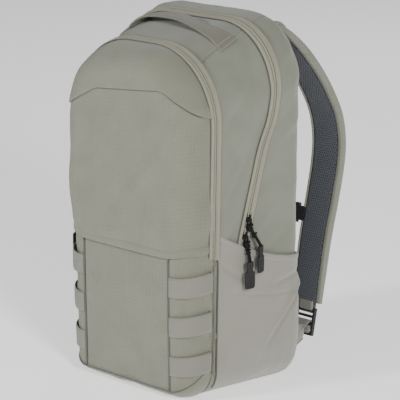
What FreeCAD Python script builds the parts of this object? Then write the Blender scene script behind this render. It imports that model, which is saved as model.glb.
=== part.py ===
import FreeCAD, Part
import math
import os

from FreeCAD import Vector

# A day pack of about 20 litres. Millimetres, +Z up. The origin is on the floor under the middle
# of the base; the front pocket faces -Y and the wearer's back is at +Y.

# Driving dimensions of the body
FRONT_Y, BACK_Y = -92.0, 92.0
FRONT_ZIP_Y, REAR_RING_Y = -50.0, 72.0
FRONT_HALF_WIDTH, REAR_HALF_WIDTH = 113.0, 132.0
FRONT_TOP_Z, REAR_TOP_Z = 437.0, 466.0
FRONT_TOP_R, REAR_TOP_R = 93.0, 76.0
BASE_R = 34.0
BASE_TAPER = 6.0
PANEL = 2.4
GAP = 0.1
JOINT_GAP = 0.35

# Zips
TAPE_HALF = 6.0
SLIT_HALF = 0.8
HINGE_Y, HINGE_Z = -93.0, 185.0
MAIN_ZIP = [(-11.0, 174.0), (20.0, 300.0), (36.0, 343.0), (42.0, 373.0), (42.0, 396.0)]
TOP_SEAM_X = 80.0
YOKE_SEAM = [(-150.0, 326.0), (-113.0, 345.0), (-46.0, 380.0), (68.0, 391.0), (113.0, 355.0),
             (150.0, 325.0)]
UPPER_SLIDER_Z, LOWER_SLIDER_Z, FRONT_SLIDER_Z = 226.0, 205.0, 205.0
SLIDER_LENGTH, SLIDER_WIDTH, BRIDGE_HALF = 12.0, 9.6, 0.7
PLATE, PLATE_OVER, PLATE_UNDER = 1.2, 0.9, 3.3
POST_HALF, POST_DEPTH = 0.45, 2.2
BRIDGE_LENGTH, BRIDGE_TOP, WINDOW_LENGTH, WINDOW_LOW, WINDOW_HIGH = 8.4, 6.2, 4.8, 1.9, 4.6
PIVOT_OUT, PULL_BAR_HALF = 3.25, 3.5
KNOT_R, STRAND_OFFSET = 2.9, 1.4

# Webbing, pockets and straps
WEBBING = 25.4
WEBBING_PITCH = 50.8
WEBBING_RISE = 11.0
FRONT_SEAM_X = 73.0
LOWEST_WEBBING_Z = 34.0
BASE_HEIGHT = 16.0
BOARD_HALF_X, BOARD_THICK = 70.0, 1.2
POCKET_FRONT_Y, POCKET_REAR_Y = -43.0, 82.0
POCKET_BULGE = 9.0
POCKET_WALL, POCKET_INNER_X = 1.6, 98.0
MOUTH_FRONT_Z, MOUTH_KNEE_Y, MOUTH_KNEE_Z, MOUTH_REAR_Z = 206.0, -4.0, 184.0, 162.0
HEM_DEPTH = 11.0
HANDLE_WIDTH, HANDLE_Y, HANDLE_HALF, HANDLE_CREST = 28.0, 3.0, 72.0, 16.0
STRAP_WIDTH = 50.0
CORD_R = 1.1
TAB_WIDTH, TAB_LENGTH, TAB_THICK = 15.0, 34.0, 3.2

# Centre line of a shoulder strap: X, Y, Z and thickness, from the yoke to the ladder lock
STRAP_LINE = [
    (61.0, 98.0, 448.0, 5.0), (65.0, 112.0, 438.0, 9.0), (71.0, 137.0, 415.0, 12.0),
    (78.0, 159.0, 386.0, 12.0), (84.0, 176.0, 356.0, 12.0), (89.0, 189.0, 324.0, 12.0),
    (92.0, 193.0, 291.0, 12.0), (93.0, 190.0, 258.0, 12.0), (94.0, 179.0, 214.0, 12.0),
    (94.0, 167.0, 168.0, 12.0), (95.0, 157.0, 124.0, 11.0), (95.0, 150.0, 84.0, 8.0),
]


def box(x0, x1, y0, y1, z0, z1):
    return Part.makeBox(x1 - x0, y1 - y0, z1 - z0, Vector(x0, y0, z0))


def prism(points, direction):
    """A straight prism on a closed outline of points."""
    wire = Part.makePolygon(list(points) + [points[0]])
    return Part.Face(wire).extrude(direction)


def fuse(*shapes):
    whole = shapes[0].fuse(list(shapes[1:]))
    return whole.removeSplitter()


def mirror(shape):
    return shape.mirror(Vector(0, 0, 0), Vector(1, 0, 0))


def export(name, shape, solids=1):
    """Write one node, after checking that it is the number of solids it should be."""
    if len(shape.Solids) != solids or not shape.isValid():
        print("CHECK", name, "solids", len(shape.Solids), "valid", shape.isValid())
    shape.exportStep("parts/" + name + ".step")


def export_pair(name, right):
    export(name + "_right", right)
    export(name + "_left", mirror(right))


# The body's form ----------------------------------------------------------------------------

def depth_share(y):
    share = (y - FRONT_ZIP_Y) / (REAR_RING_Y - FRONT_ZIP_Y)
    return min(max(share, 0.0), 1.0)


def mix(a, b, share):
    return a + (b - a) * share


def half_width(y):
    return mix(FRONT_HALF_WIDTH, REAR_HALF_WIDTH, depth_share(y))


def top_height(y):
    return mix(FRONT_TOP_Z, REAR_TOP_Z, depth_share(y))


def arc(a, b, c):
    return Part.Arc(a, b, c).toShape()


def line(a, b):
    return Part.LineSegment(a, b).toShape()


def outline(y, inset):
    """The arch-shaped section of the body at depth y, drawn in by inset all round."""
    share = depth_share(y)
    half = half_width(y) - inset
    foot = half - BASE_TAPER * (1.0 - 0.5 * share)
    top = top_height(y) - inset
    low = max(inset, 0.0) * 0.4 + min(inset, 0.0)
    crown = mix(FRONT_TOP_R, REAR_TOP_R, share) - inset * 0.5
    heel = BASE_R - max(inset, 0.0) * 0.4
    k = 1.0 - math.sqrt(0.5)

    def at(x, z):
        return Vector(x, y, z)

    heel_in = at(foot - heel, low)
    heel_mid = at(foot - heel * k, low + heel * k)
    heel_out = at(foot, low + heel)
    crown_out = at(half, top - crown)
    crown_mid = at(half - crown * k, top - crown * k)
    crown_in = at(half - crown, top)

    def left(p):
        return Vector(-p.x, p.y, p.z)

    edges = [
        arc(heel_in, heel_mid, heel_out),
        line(heel_out, crown_out),
        arc(crown_out, crown_mid, crown_in),
        line(crown_in, left(crown_in)),
        arc(left(crown_in), left(crown_mid), left(crown_out)),
        line(left(crown_out), left(heel_out)),
        arc(left(heel_out), left(heel_mid), left(heel_in)),
        line(left(heel_in), heel_in),
    ]
    return Part.Wire(edges)


def hull(grow):
    """The body as one solid, its surface moved outwards by grow (inwards where negative)."""
    stations = [
        (FRONT_Y - grow, 32.0 - 0.4 * grow),
        (FRONT_Y + 8.0 - 0.8 * grow, 12.0 - 0.6 * grow),
        (FRONT_Y + 22.0 - 0.2 * grow, 3.0 - 0.95 * grow),
        (FRONT_ZIP_Y, -grow),
        (REAR_RING_Y, -grow),
        (BACK_Y - 6.0 + 0.5 * grow, 5.0 - 0.85 * grow),
        (BACK_Y + grow, 16.0 - 0.4 * grow),
    ]
    wires = [outline(y, inset) for y, inset in stations]
    return Part.makeLoft(wires, True, True)


def skin(outer, inner):
    return hull(outer).cut(hull(inner))


def lid_space(shift, lift=0.0):
    """All the space in front of the main zip's line, shifted in Y, above the hem's line."""
    points = [Vector(-200, y + shift, z) for y, z in MAIN_ZIP]
    straight = (points[1] - points[0]).normalize()
    foot = points[0] - straight * 60.0
    curve = Part.BSplineCurve()
    curve.interpolate(Points=points[1:], InitialTangent=straight, FinalTangent=Vector(0, 0, 1))
    top_rear = Vector(-200, points[-1].y, 540)
    top_front = Vector(-200, -160, 540)
    low_front = Vector(-200, -160, foot.z)
    edges = [line(foot, points[1]), curve.toShape(), line(points[-1], top_rear),
             line(top_rear, top_front), line(top_front, low_front), line(low_front, foot)]
    before_zip = Part.Face(Part.Wire(edges)).extrude(Vector(400, 0, 0))
    slope = (MAIN_ZIP[0][1] - HINGE_Z) / (MAIN_ZIP[0][0] - HINGE_Y)
    hem = [Vector(-200, y, HINGE_Z + slope * (y - HINGE_Y) + lift) for y in (-160, 100)]
    above_hem = prism(hem + [Vector(-200, 100, 540), top_front], Vector(400, 0, 0))
    return before_zip.common(above_hem)


def yoke_space(drop):
    """The space above the stepped seam of the front yoke."""
    points = [Vector(x, -150, z - drop) for x, z in YOKE_SEAM]
    points += [Vector(YOKE_SEAM[-1][0], -150, 540), Vector(YOKE_SEAM[0][0], -150, 540)]
    return prism(points, Vector(0, 150, 0))


def band(y0, y1):
    return box(-200, 200, y0, y1, -10, 540)


shell = skin(0.0, -PANEL)
lid_panels = shell.common(lid_space(-TAPE_HALF - GAP, JOINT_GAP))
fixed_panels = shell.cut(lid_space(TAPE_HALF + GAP, -JOINT_GAP))

# Fixed body panels
base_space = box(-200, 200, -200, BACK_Y - 6.0 - GAP, -10, BASE_HEIGHT)
board = box(-BOARD_HALF_X, BOARD_HALF_X, FRONT_ZIP_Y + 8, REAR_RING_Y - 8, 0, BOARD_THICK)
board_space = board.fuse(board.translated(Vector(0, 0, -BOARD_THICK)))
export("base_panel", fixed_panels.common(base_space).cut(board_space).fuse(board))
upper_space = box(-200, 200, -200, BACK_Y - 6.0 - GAP, BASE_HEIGHT + GAP, 540)
walls = fixed_panels.common(upper_space)
front_walls = walls.common(box(-200, 200, -200, POCKET_FRONT_Y - GAP, -10, HINGE_Z + 20))
export("lower_front_panel", front_walls.common(box(-FRONT_SEAM_X + GAP, FRONT_SEAM_X - GAP,
                                                   -200, 0, -10, 300)))
export_pair("corner_panel", front_walls.common(box(FRONT_SEAM_X, 200, -200, 0, -10, 300)))
rear_walls = walls.common(box(-200, 200, POCKET_FRONT_Y, 200, -10, 540))
top_box = box(-TOP_SEAM_X + GAP, TOP_SEAM_X - GAP, -200, 200, 300, 540)
export("rear_top_panel", rear_walls.common(top_box))
export_pair("side_panel", rear_walls.common(box(TOP_SEAM_X, 200, -200, 200, -10, 540)))
export("back_wall", shell.common(box(-200, 200, BACK_Y - 6.0, 200, -10, 540)))

# Lid: the ring between the two zips, closed in front by the pocket divider
ring = lid_panels.common(band(FRONT_ZIP_Y + TAPE_HALF + GAP, 200))
export("lid_top_panel", ring.common(top_box))
export_pair("lid_side", ring.common(box(TOP_SEAM_X, 200, -200, 200, -10, 540)))
divider_y = FRONT_ZIP_Y + TAPE_HALF - 0.2
divider = Part.Face(outline(divider_y, PANEL + 0.3)).extrude(Vector(0, 1.5, 0))
export("front_divider", divider.common(lid_space(-TAPE_HALF - GAP, JOINT_GAP)))

# Front flap: the pocket's outer panel and the yoke above it
cap = lid_panels.common(band(-200, FRONT_ZIP_Y - TAPE_HALF - GAP))
export("front_panel", cap.cut(yoke_space(GAP)))
export("front_yoke", cap.common(yoke_space(0.0)))

# Zip tapes, a chain half on the edge of each; a clear slit between them takes the slider's post
tape = skin(0.2, -1.4)
lid_tape = tape.common(lid_space(-TAPE_HALF, JOINT_GAP))
export("front_zip_front_tape",
       lid_tape.common(band(FRONT_ZIP_Y - TAPE_HALF, FRONT_ZIP_Y - SLIT_HALF)))
export("front_zip_rear_tape",
       lid_tape.common(band(FRONT_ZIP_Y + SLIT_HALF, FRONT_ZIP_Y + TAPE_HALF)))
export("main_zip_front_tape",
       tape.common(lid_space(-SLIT_HALF, JOINT_GAP)).cut(lid_space(-TAPE_HALF, -20)))
export("main_zip_rear_tape",
       tape.common(lid_space(TAPE_HALF, 0.0)).cut(lid_space(SLIT_HALF, -20)))

# Load webbing round the front corners: three rows, rising towards the side
webbing_skin = skin(1.7, 0.2)
for row in range(3):
    low = LOWEST_WEBBING_Z + row * WEBBING_PITCH
    high = low + WEBBING
    sides = [(FRONT_SEAM_X + 1, low), (130, low + WEBBING_RISE),
             (130, high + WEBBING_RISE), (FRONT_SEAM_X + 1, high)]
    strip = prism([Vector(x, -150, z) for x, z in sides], Vector(0, 100 - 7, 0))
    export_pair("corner_webbing_%d" % (row + 1), webbing_skin.common(strip))

# Stretch side pockets -----------------------------------------------------------------------


def pocket_form(shrink, extra_top):
    """A pocket's outer form: crowned in plan and in height, cut off by its sloping mouth."""
    lean = (REAR_HALF_WIDTH - FRONT_HALF_WIDTH) / (REAR_RING_Y - FRONT_ZIP_Y)

    def side_x(y):
        return FRONT_HALF_WIDTH + lean * (y - FRONT_ZIP_Y)

    y0, y1 = POCKET_FRONT_Y + shrink, POCKET_REAR_Y - shrink
    bulge = POCKET_BULGE - shrink
    plan = [Vector(60, y0, 0), Vector(side_x(y0) + 2.4 - shrink, y0, 0),
            Vector(side_x(-21) + 0.5 * bulge, -21, 0), Vector(side_x(12) + 0.67 * bulge, 12, 0),
            Vector(side_x(45) + bulge, 45, 0), Vector(side_x(y1) + 0.8 * bulge, y1 - 20, 0),
            Vector(side_x(y1) + 1.8 - shrink, y1, 0), Vector(60, y1, 0)]
    rear = REAR_HALF_WIDTH - shrink
    height = [Vector(60, -80, 8 + shrink), Vector(rear - 11, -80, 10 + shrink),
              Vector(rear, -80, 34), Vector(rear + 5 + bulge * 0.5, -80, 70),
              Vector(rear + bulge, -80, 120),
              Vector(rear + 5, -80, 162), Vector(rear + 1, -80, 240),
              Vector(60, -80, 240)]
    mouth = [Vector(60, y0, 0), Vector(60, y1, 0), Vector(60, y1, MOUTH_REAR_Z + extra_top),
             Vector(60, MOUTH_KNEE_Y, MOUTH_KNEE_Z + extra_top),
             Vector(60, y0, MOUTH_FRONT_Z + extra_top)]
    form = prism(plan, Vector(0, 0, 260))
    form = form.common(prism(height, Vector(0, 200, 0)))
    return form.common(prism(mouth, Vector(90, 0, 0)))


front_slope = (MOUTH_FRONT_Z - MOUTH_KNEE_Z) / (POCKET_FRONT_Y - MOUTH_KNEE_Y)
rear_slope = (MOUTH_REAR_Z - MOUTH_KNEE_Z) / (POCKET_REAR_Y - MOUTH_KNEE_Y)
hem_line = [Vector(60, y, MOUTH_KNEE_Z - HEM_DEPTH + slope * (y - MOUTH_KNEE_Y))
            for y, slope in ((-60, front_slope), (MOUTH_KNEE_Y, 0.0), (100, rear_slope))]
hem_cut = prism(hem_line + [Vector(60, 100, 260), Vector(60, -60, 260)], Vector(90, 0, 0))
pocket = pocket_form(0.0, 0.0).cut(pocket_form(POCKET_WALL, 30.0)).cut(hull(0.6))
pocket = pocket.common(box(POCKET_INNER_X, 160, -60, 90, 0, 260))
export_pair("side_pocket", pocket.cut(hem_cut))
export_pair("pocket_hem", pocket.common(hem_cut.translated(Vector(0, 0, GAP))))

# Sliders and their pulls --------------------------------------------------------------------


def zip_y(z):
    (y0, z0), (y1, z1) = MAIN_ZIP[0], MAIN_ZIP[1]
    return y0 + (z - z0) * (y1 - y0) / (z1 - z0)


def frame_at(point, outward, along):
    """A placement whose x is outward, z is along the zip and y is across it."""
    out = Vector(outward).normalize()
    up = Vector(along)
    up = (up - out * up.dot(out)).normalize()
    across = up.cross(out)
    turn = FreeCAD.Matrix(out.x, across.x, up.x, point.x,
                          out.y, across.y, up.y, point.y,
                          out.z, across.z, up.z, point.z,
                          0, 0, 0, 1)
    return FreeCAD.Placement(turn)


def slider():
    """A zip slider about its own origin, on the skin's surface: x outward, z along the zip."""
    half, width = SLIDER_LENGTH / 2, SLIDER_WIDTH / 2
    upper = box(PLATE_OVER, PLATE_OVER + PLATE, -width, width, -half, half)
    lower = box(-PLATE_UNDER, PLATE - PLATE_UNDER, -width, width, -half, half)
    post_end = half - 0.8
    post = box(PLATE / 2 - PLATE_UNDER, PLATE_OVER + PLATE / 2, -POST_HALF, POST_HALF,
               post_end - POST_DEPTH, post_end)
    bridge = box(PLATE_OVER + PLATE / 2, BRIDGE_TOP, -BRIDGE_HALF, BRIDGE_HALF,
                 -BRIDGE_LENGTH / 2, BRIDGE_LENGTH / 2)
    bridge = bridge.cut(box(WINDOW_LOW, WINDOW_HIGH, -width, width,
                            -WINDOW_LENGTH / 2, WINDOW_LENGTH / 2))
    return fuse(upper, lower, post, bridge)


def cord_path(points):
    """A route of straight runs joined by tangent arcs as large as the runs allow."""
    edges = []
    start = points[0]
    for i in range(1, len(points) - 1):
        back = points[i - 1] - points[i]
        ahead = points[i + 1] - points[i]
        short = min(back.Length, ahead.Length)
        back.normalize()
        ahead.normalize()
        inner = points[i] + back * (0.45 * short)
        outer = points[i] + ahead * (0.45 * short)
        turn = math.pi - back.getAngle(ahead)
        radius = 0.45 * short / math.tan(turn / 2)
        middle = (back + ahead).normalize()
        centre = points[i] + middle * (radius / math.cos(turn / 2))
        edges.append(line(start, inner))
        edges.append(arc(inner, centre - middle * radius, outer))
        start = outer
    edges.append(line(start, points[-1]))
    return Part.Wire(edges)


def tube(points, radius):
    path = cord_path(points)
    first = (points[1] - points[0]).normalize()
    circle = Part.Wire(Part.makeCircle(radius, points[0], first))
    swept = path.makePipeShell([circle], True, False)
    return swept if swept.ShapeType == "Solid" else Part.Solid(swept)


def tab(top, yaw):
    """A moulded tab hanging from the point top: flared head, narrow neck, wide rounded body."""
    half = TAB_WIDTH / 2
    side = [(0, 0), (0.5 * half, 0), (0.62 * half, -4), (0.45 * half, -9), (0.8 * half, -14),
            (half, -20), (0.95 * half, -28), (0.6 * half, -TAB_LENGTH + 1.5), (0, -TAB_LENGTH)]
    rim = [Vector(-TAB_THICK / 2, y, z) for y, z in side]
    rim += [Vector(-TAB_THICK / 2, -y, z) for y, z in reversed(side[1:-1])]
    shape = prism(rim, Vector(TAB_THICK, 0, 0))
    shape.rotate(Vector(0, 0, 0), Vector(0, 0, 1), yaw)
    shape.translate(top)
    return shape


def pull(place, knot, tab_top, yaw):
    """The knotted loop of cord through a slider's bridge, and the tab that hangs on it."""
    ends = [place.multVec(Vector(PIVOT_OUT, side * PULL_BAR_HALF, 0)) for side in (-1, 1)]
    bar = Part.makeCylinder(CORD_R, 2 * PULL_BAR_HALF, ends[0], ends[1] - ends[0])
    across = (ends[1] - ends[0]).normalize()
    strands = [bar]
    for end, side in zip(ends, (-1, 1)):
        offset = across * (side * STRAND_OFFSET)
        strands.append(Part.makeSphere(CORD_R, end))
        strands.append(tube([end, knot + offset, tab_top + offset * 0.9], CORD_R))
    knob = Part.makeSphere(KNOT_R, knot)
    return fuse(knob, *strands), tab(tab_top - Vector(0, 0, 0.02), yaw)


def side_point(y, z):
    """The point on the right side panel at depth y and height z."""
    wide = half_width(y)
    share = depth_share(y)
    taper = BASE_TAPER * (1.0 - 0.5 * share)
    crown_z = top_height(y) - mix(FRONT_TOP_R, REAR_TOP_R, share)
    return Vector(wide - taper * (crown_z - z) / (crown_z - BASE_R), y, z)


def slider_place(z, line_y):
    """Where a slider sits on the right side's panel, and the way it travels there."""
    here = side_point(line_y(z), z)
    along = side_point(line_y(z + 40), z + 40) - here
    across = side_point(line_y(z) + 10, z) - here
    return here, frame_at(here, across.cross(along), along)


def front_zip_line(z):
    return FRONT_ZIP_Y


def export_slider(name, seat, place, knot_step, tab_step, yaw, flip=False):
    body = slider()
    body.Placement = place
    cord, tag = pull(place, seat + knot_step, seat + tab_step, yaw)
    for kind, shape in (("slider", body), ("cord", cord), ("tab", tag)):
        export(name + "_" + kind, mirror(shape) if flip else shape)
    turn = place.Rotation
    print(name, "pivot", place.multVec(Vector(PIVOT_OUT, 0, 0)), "across",
          turn.multVec(Vector(0, 1, 0)), "along", turn.multVec(Vector(0, 0, 1)))


seat, place = slider_place(UPPER_SLIDER_Z, zip_y)
export_slider("main_upper", seat, place, Vector(6.2, -2.2, -10.8), Vector(15.0, 8.5, -35.0), 15.0)
seat, place = slider_place(LOWER_SLIDER_Z, zip_y)
export_slider("main_lower", seat, place, Vector(7.6, -2.4, -10.5), Vector(15.0, -5.0, -31.0), -10.0)
seat, place = slider_place(FRONT_SLIDER_Z, front_zip_line)
export_slider("front", seat, place, Vector(6.6, -0.5, -10.5), Vector(11.5, -5.0, -19.0), 8.0, True)

# Haul handle: flat webbing arched over the lid's top ----------------------------------------
y0, y1 = HANDLE_Y - HANDLE_WIDTH / 2, HANDLE_Y + HANDLE_WIDTH / 2
crest = top_height(HANDLE_Y) + HANDLE_CREST
feet = skin(3.2, 0.5).common(box(HANDLE_HALF - 6, HANDLE_HALF + 16, y0, y1, 380, 540))
foot_z = 443.0
outer = arc(Vector(-HANDLE_HALF, y0, foot_z), Vector(0, y0, crest), Vector(HANDLE_HALF, y0, foot_z))
inner = arc(Vector(-HANDLE_HALF + 1, y0, foot_z - 2.6), Vector(0, y0, crest - 2.6),
            Vector(HANDLE_HALF - 1, y0, foot_z - 2.6))
ends = [line(outer.Vertexes[0].Point, inner.Vertexes[0].Point),
        line(outer.Vertexes[-1].Point, inner.Vertexes[-1].Point)]
rim = Part.Wire(Part.__sortEdges__([outer, inner] + ends))
arch = Part.Face(rim).extrude(Vector(0, HANDLE_WIDTH, 0)).cut(hull(0.5))
export("haul_handle", fuse(arch, feet, mirror(feet)))

# Back: padding, frame sheet and laptop sleeve -----------------------------------------------
PAD_HALF, PAD_LOW, PAD_HIGH, PAD_FOAM = 92.0, 34.0, 420.0, 9.0
for name, y_low, thick, half, z_low, z_high in (
        ("back_pad_foam", BACK_Y + 0.3, PAD_FOAM, PAD_HALF, PAD_LOW, PAD_HIGH),
        ("back_pad_mesh", BACK_Y + PAD_FOAM + 0.5, 2.0, PAD_HALF, PAD_LOW, PAD_HIGH),
        ("frame_sheet", BACK_Y - 6.5, 1.5, 96.0, 30.0, 415.0),
        ("laptop_sleeve_wall", BACK_Y - 34.0, 2.0, 104.0, 40.0, 330.0)):
    pad = box(-half, half, y_low, y_low + thick, z_low, z_high)
    corners = [e for e in pad.Edges if abs(e.tangentAt(e.FirstParameter).y) > 0.9]
    export(name, pad.makeFillet(24.0, corners))

yoke = box(-92, 92, BACK_Y + 0.3, 94.4, 425.0, 455.0).cut(hull(0.3))
export("strap_yoke", yoke.common(Part.Face(outline(BACK_Y - 1, 20.0)).extrude(Vector(0, 10, 0))))

# Shoulder straps ----------------------------------------------------------------------------


def strap_loft(trim_width, trim_thick, first, last):
    """The strap between two of its stations, drawn in all round by the trims."""
    wires = []
    chosen = STRAP_LINE[first:last + 1]
    for i, (x, y, z, thick) in enumerate(chosen):
        before = chosen[max(i - 1, 0)]
        after = chosen[min(i + 1, len(chosen) - 1)]
        run = Vector(0, after[1] - before[1], after[2] - before[2]).normalize()
        normal = Vector(0, -run.z, run.y)
        half, deep = STRAP_WIDTH / 2 - trim_width, thick / 2 - trim_thick
        cut = min(3.0, deep * 0.6)
        ring = [(half, deep - cut), (half - cut, deep), (-half + cut, deep), (-half, deep - cut),
                (-half, cut - deep), (cut - half, -deep), (half - cut, -deep), (half, cut - deep)]
        points = [Vector(x + across, y, z) + normal * up for across, up in ring]
        wires.append(Part.makePolygon(points + [points[0]]))
    return Part.makeLoft(wires, True, True)


last_station = len(STRAP_LINE) - 1
foam = strap_loft(2.2, 2.0, 1, last_station - 1)
cavity = strap_loft(2.0, 1.8, 1, last_station - 1)
export_pair("strap_cover", strap_loft(0.0, 0.0, 0, last_station).cut(cavity))
export_pair("strap_foam", foam)

# Ladder locks, their webbing, and the wings that hold it
LOCK_X, LOCK_Y, LOCK_Z = 95.0, 148.5, 74.0
LOCK_HALF, LOCK_THICK, LOCK_LENGTH, LOCK_LEAN = 16.0, 5.0, 36.0, -12.0
lock = box(-LOCK_HALF, LOCK_HALF, -LOCK_THICK / 2, LOCK_THICK / 2, -2 - LOCK_LENGTH, -2)
for low, high in ((-12.0, -7.0), (-22.0, -15.0), (-33.0, -25.0)):
    lock = lock.cut(box(-LOCK_HALF + 3, LOCK_HALF - 3, -LOCK_THICK, LOCK_THICK, low, high))
lock.rotate(Vector(0, 0, 0), Vector(1, 0, 0), LOCK_LEAN)
lock.translate(Vector(LOCK_X, LOCK_Y, LOCK_Z))
export_pair("ladder_lock", lock)

ADJUSTER_WIDTH, ADJUSTER_THICK, WING_Z, WING_DEPTH = 25.0, 2.0, 40.0, 11.6
web_near, web_far = BACK_Y + WING_DEPTH + 0.4, LOCK_Y - 9.0
web = prism([Vector(LOCK_X - ADJUSTER_WIDTH / 2, y, z) for y, z in (
    (web_near, WING_Z), (web_near, WING_Z + ADJUSTER_THICK),
    (web_far, WING_Z + ADJUSTER_THICK + 17), (web_far, WING_Z + 17))],
            Vector(ADJUSTER_WIDTH, 0, 0))
export_pair("adjuster_webbing", web)
wing = box(PAD_HALF + 1, LOCK_X + 14, BACK_Y + 0.3, BACK_Y + 0.3 + WING_DEPTH,
           WING_Z - 4, WING_Z + 4)
export_pair("strap_wing", wing.cut(hull(0.2)))

# Sternum strap: a clip on each strap, webbing and the two halves of its buckle
STERNUM_Y, STERNUM_Z = 172.2, 188.0
STERNUM_LEAN = math.degrees(math.atan2(STRAP_LINE[7][1] - STRAP_LINE[9][1],
                                       STRAP_LINE[7][2] - STRAP_LINE[9][2]))


def on_strap(shape):
    """Lean a piece made about the origin to lie along the straps at the chest."""
    shape.rotate(Vector(0, 0, 0), Vector(1, 0, 0), -STERNUM_LEAN)
    shape.translate(Vector(0, STERNUM_Y, STERNUM_Z))
    return shape


# The carriage is a C-shaped clip that slides on the padded inner edge of the strap
CLIP_X, CLIP_END_X, CLIP_WALL, CLIP_HALF_DEPTH, CLIP_HALF_HEIGHT = 59.0, 75.0, 2.0, 8.8, 9.0
LOOP_X, RIBBON_END_X, BUCKLE_X, BUCKLE_HALF_HEIGHT, BUCKLE_HALF_DEPTH = 53.6, 16.2, 16.0, 13.0, 4.5
SOCKET_WALL, TONGUE_LENGTH, TONGUE_WIDTH = 1.7, 11.5, 3.5
inner_depth = CLIP_HALF_DEPTH - 1.5
carriage = box(CLIP_X, CLIP_END_X, -CLIP_HALF_DEPTH, CLIP_HALF_DEPTH,
               -CLIP_HALF_HEIGHT, CLIP_HALF_HEIGHT)
carriage = carriage.cut(box(CLIP_X + CLIP_WALL, CLIP_END_X + 5, -inner_depth, inner_depth, -20, 20))
loop = box(LOOP_X, CLIP_X + 0.5, -3.0, 3.0, -BUCKLE_HALF_HEIGHT, BUCKLE_HALF_HEIGHT)
loop = loop.cut(box(LOOP_X + 1.6, CLIP_X - 1, -5, 5, -10.6, 10.6))
export_pair("sternum_carriage", on_strap(fuse(carriage, loop)))
ribbon = box(RIBBON_END_X, LOOP_X - 0.2, -0.8, 0.8, -10, 10)
export_pair("sternum_webbing", on_strap(ribbon))
socket = box(0.3, BUCKLE_X, -BUCKLE_HALF_DEPTH, BUCKLE_HALF_DEPTH,
             -BUCKLE_HALF_HEIGHT, BUCKLE_HALF_HEIGHT)
room = BUCKLE_HALF_DEPTH - SOCKET_WALL
socket = socket.cut(box(-1.0, BUCKLE_X - 3, -room, room, -10, 10))
export("sternum_buckle_socket", on_strap(socket))
plug = box(-BUCKLE_X, -0.3, -BUCKLE_HALF_DEPTH, BUCKLE_HALF_DEPTH,
           -BUCKLE_HALF_HEIGHT, BUCKLE_HALF_HEIGHT)
tongues = [box(-0.4, TONGUE_LENGTH, -2.0, 2.0, low, low + TONGUE_WIDTH)
           for low in (-9.0, -TONGUE_WIDTH / 2, 5.5)]
export("sternum_buckle_plug", on_strap(fuse(plug, *tongues)))
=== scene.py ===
import math

import bpy
import numpy as np
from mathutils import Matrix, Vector


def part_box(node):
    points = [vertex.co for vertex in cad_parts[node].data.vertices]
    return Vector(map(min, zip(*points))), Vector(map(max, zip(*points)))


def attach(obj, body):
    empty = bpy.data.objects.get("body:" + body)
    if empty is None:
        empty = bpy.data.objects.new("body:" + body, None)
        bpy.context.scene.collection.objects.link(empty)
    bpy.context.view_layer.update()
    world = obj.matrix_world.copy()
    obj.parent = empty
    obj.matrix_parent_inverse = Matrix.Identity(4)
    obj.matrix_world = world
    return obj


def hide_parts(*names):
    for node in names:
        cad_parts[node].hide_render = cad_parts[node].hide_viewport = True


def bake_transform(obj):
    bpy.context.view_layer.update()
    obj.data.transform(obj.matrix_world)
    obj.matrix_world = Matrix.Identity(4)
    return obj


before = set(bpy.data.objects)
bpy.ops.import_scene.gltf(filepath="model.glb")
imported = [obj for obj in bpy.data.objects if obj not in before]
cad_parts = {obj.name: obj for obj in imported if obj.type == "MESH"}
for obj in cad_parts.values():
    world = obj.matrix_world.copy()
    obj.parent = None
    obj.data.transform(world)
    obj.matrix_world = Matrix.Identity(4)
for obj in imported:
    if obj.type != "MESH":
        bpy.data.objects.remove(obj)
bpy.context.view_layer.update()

# The pack's driving sizes, in metres: +Z up, the front pocket at -Y, the wearer's back at +Y.
FRONT_Y, FRONT_ZIP_Y, REAR_RING_Y, BACK_Y = -0.092, -0.050, 0.072, 0.092
FRONT_HALF, REAR_HALF = 0.113, 0.132
FRONT_TOP, REAR_TOP = 0.437, 0.466
FRONT_CROWN, REAR_CROWN = 0.093, 0.076
HEEL, FOOT_TAPER = 0.034, 0.006
RIM_FRONT, RIM_REAR = 0.034, 0.016
HINGE = (0.0, -0.093, 0.185)
TAPE_HALF = 0.006
ZIP_LINE = [(-0.011, 0.174), (0.020, 0.300), (0.036, 0.343), (0.042, 0.373), (0.042, 0.396)]
TOP_SEAM_X = 0.080
FRONT_SEAM_X = 0.073
PANEL_REAR_Y = 0.0895
WEBBING_WIDTH, WEBBING_PITCH, WEBBING_LOW = 0.0254, 0.0508, 0.034

FORWARD = np.array([0.0, -1.0, 0.0])
RIGHT = np.array([1.0, 0.0, 0.0])
UP = np.array([0.0, 0.0, 1.0])
SIDES = (("right", 1.0), ("left", -1.0))


# Form of the body ----------------------------------------------------------------------------

def mix(a, b, t):
    return a + (b - a) * t


def ease(t):
    t = np.clip(t, 0, 1)
    return t * t * (3 - 2 * t)


def shares(rows, cols, low=0.0):
    """Two grids that rise from low to 1: the first over the rows, the second over the columns."""
    a = np.linspace(low, 1, rows)[:, None] + np.zeros((1, cols))
    b = np.linspace(low, 1, cols)[None, :] + np.zeros((rows, 1))
    return a, b


def flip_to(sign):
    """What turns a point on the right into one on the side of sign."""
    return np.array([sign, 1.0, 1.0])


def rim_inset(y):
    """How far the body's section draws in near its front and back faces."""
    front = np.clip((FRONT_ZIP_Y - y) / (FRONT_ZIP_Y - FRONT_Y), 0, 1)
    rear = np.clip((y - REAR_RING_Y) / (BACK_Y - REAR_RING_Y), 0, 1)
    return RIM_FRONT * (1 - np.sqrt(1 - front ** 2)) + RIM_REAR * (1 - np.sqrt(1 - rear ** 2))


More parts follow.
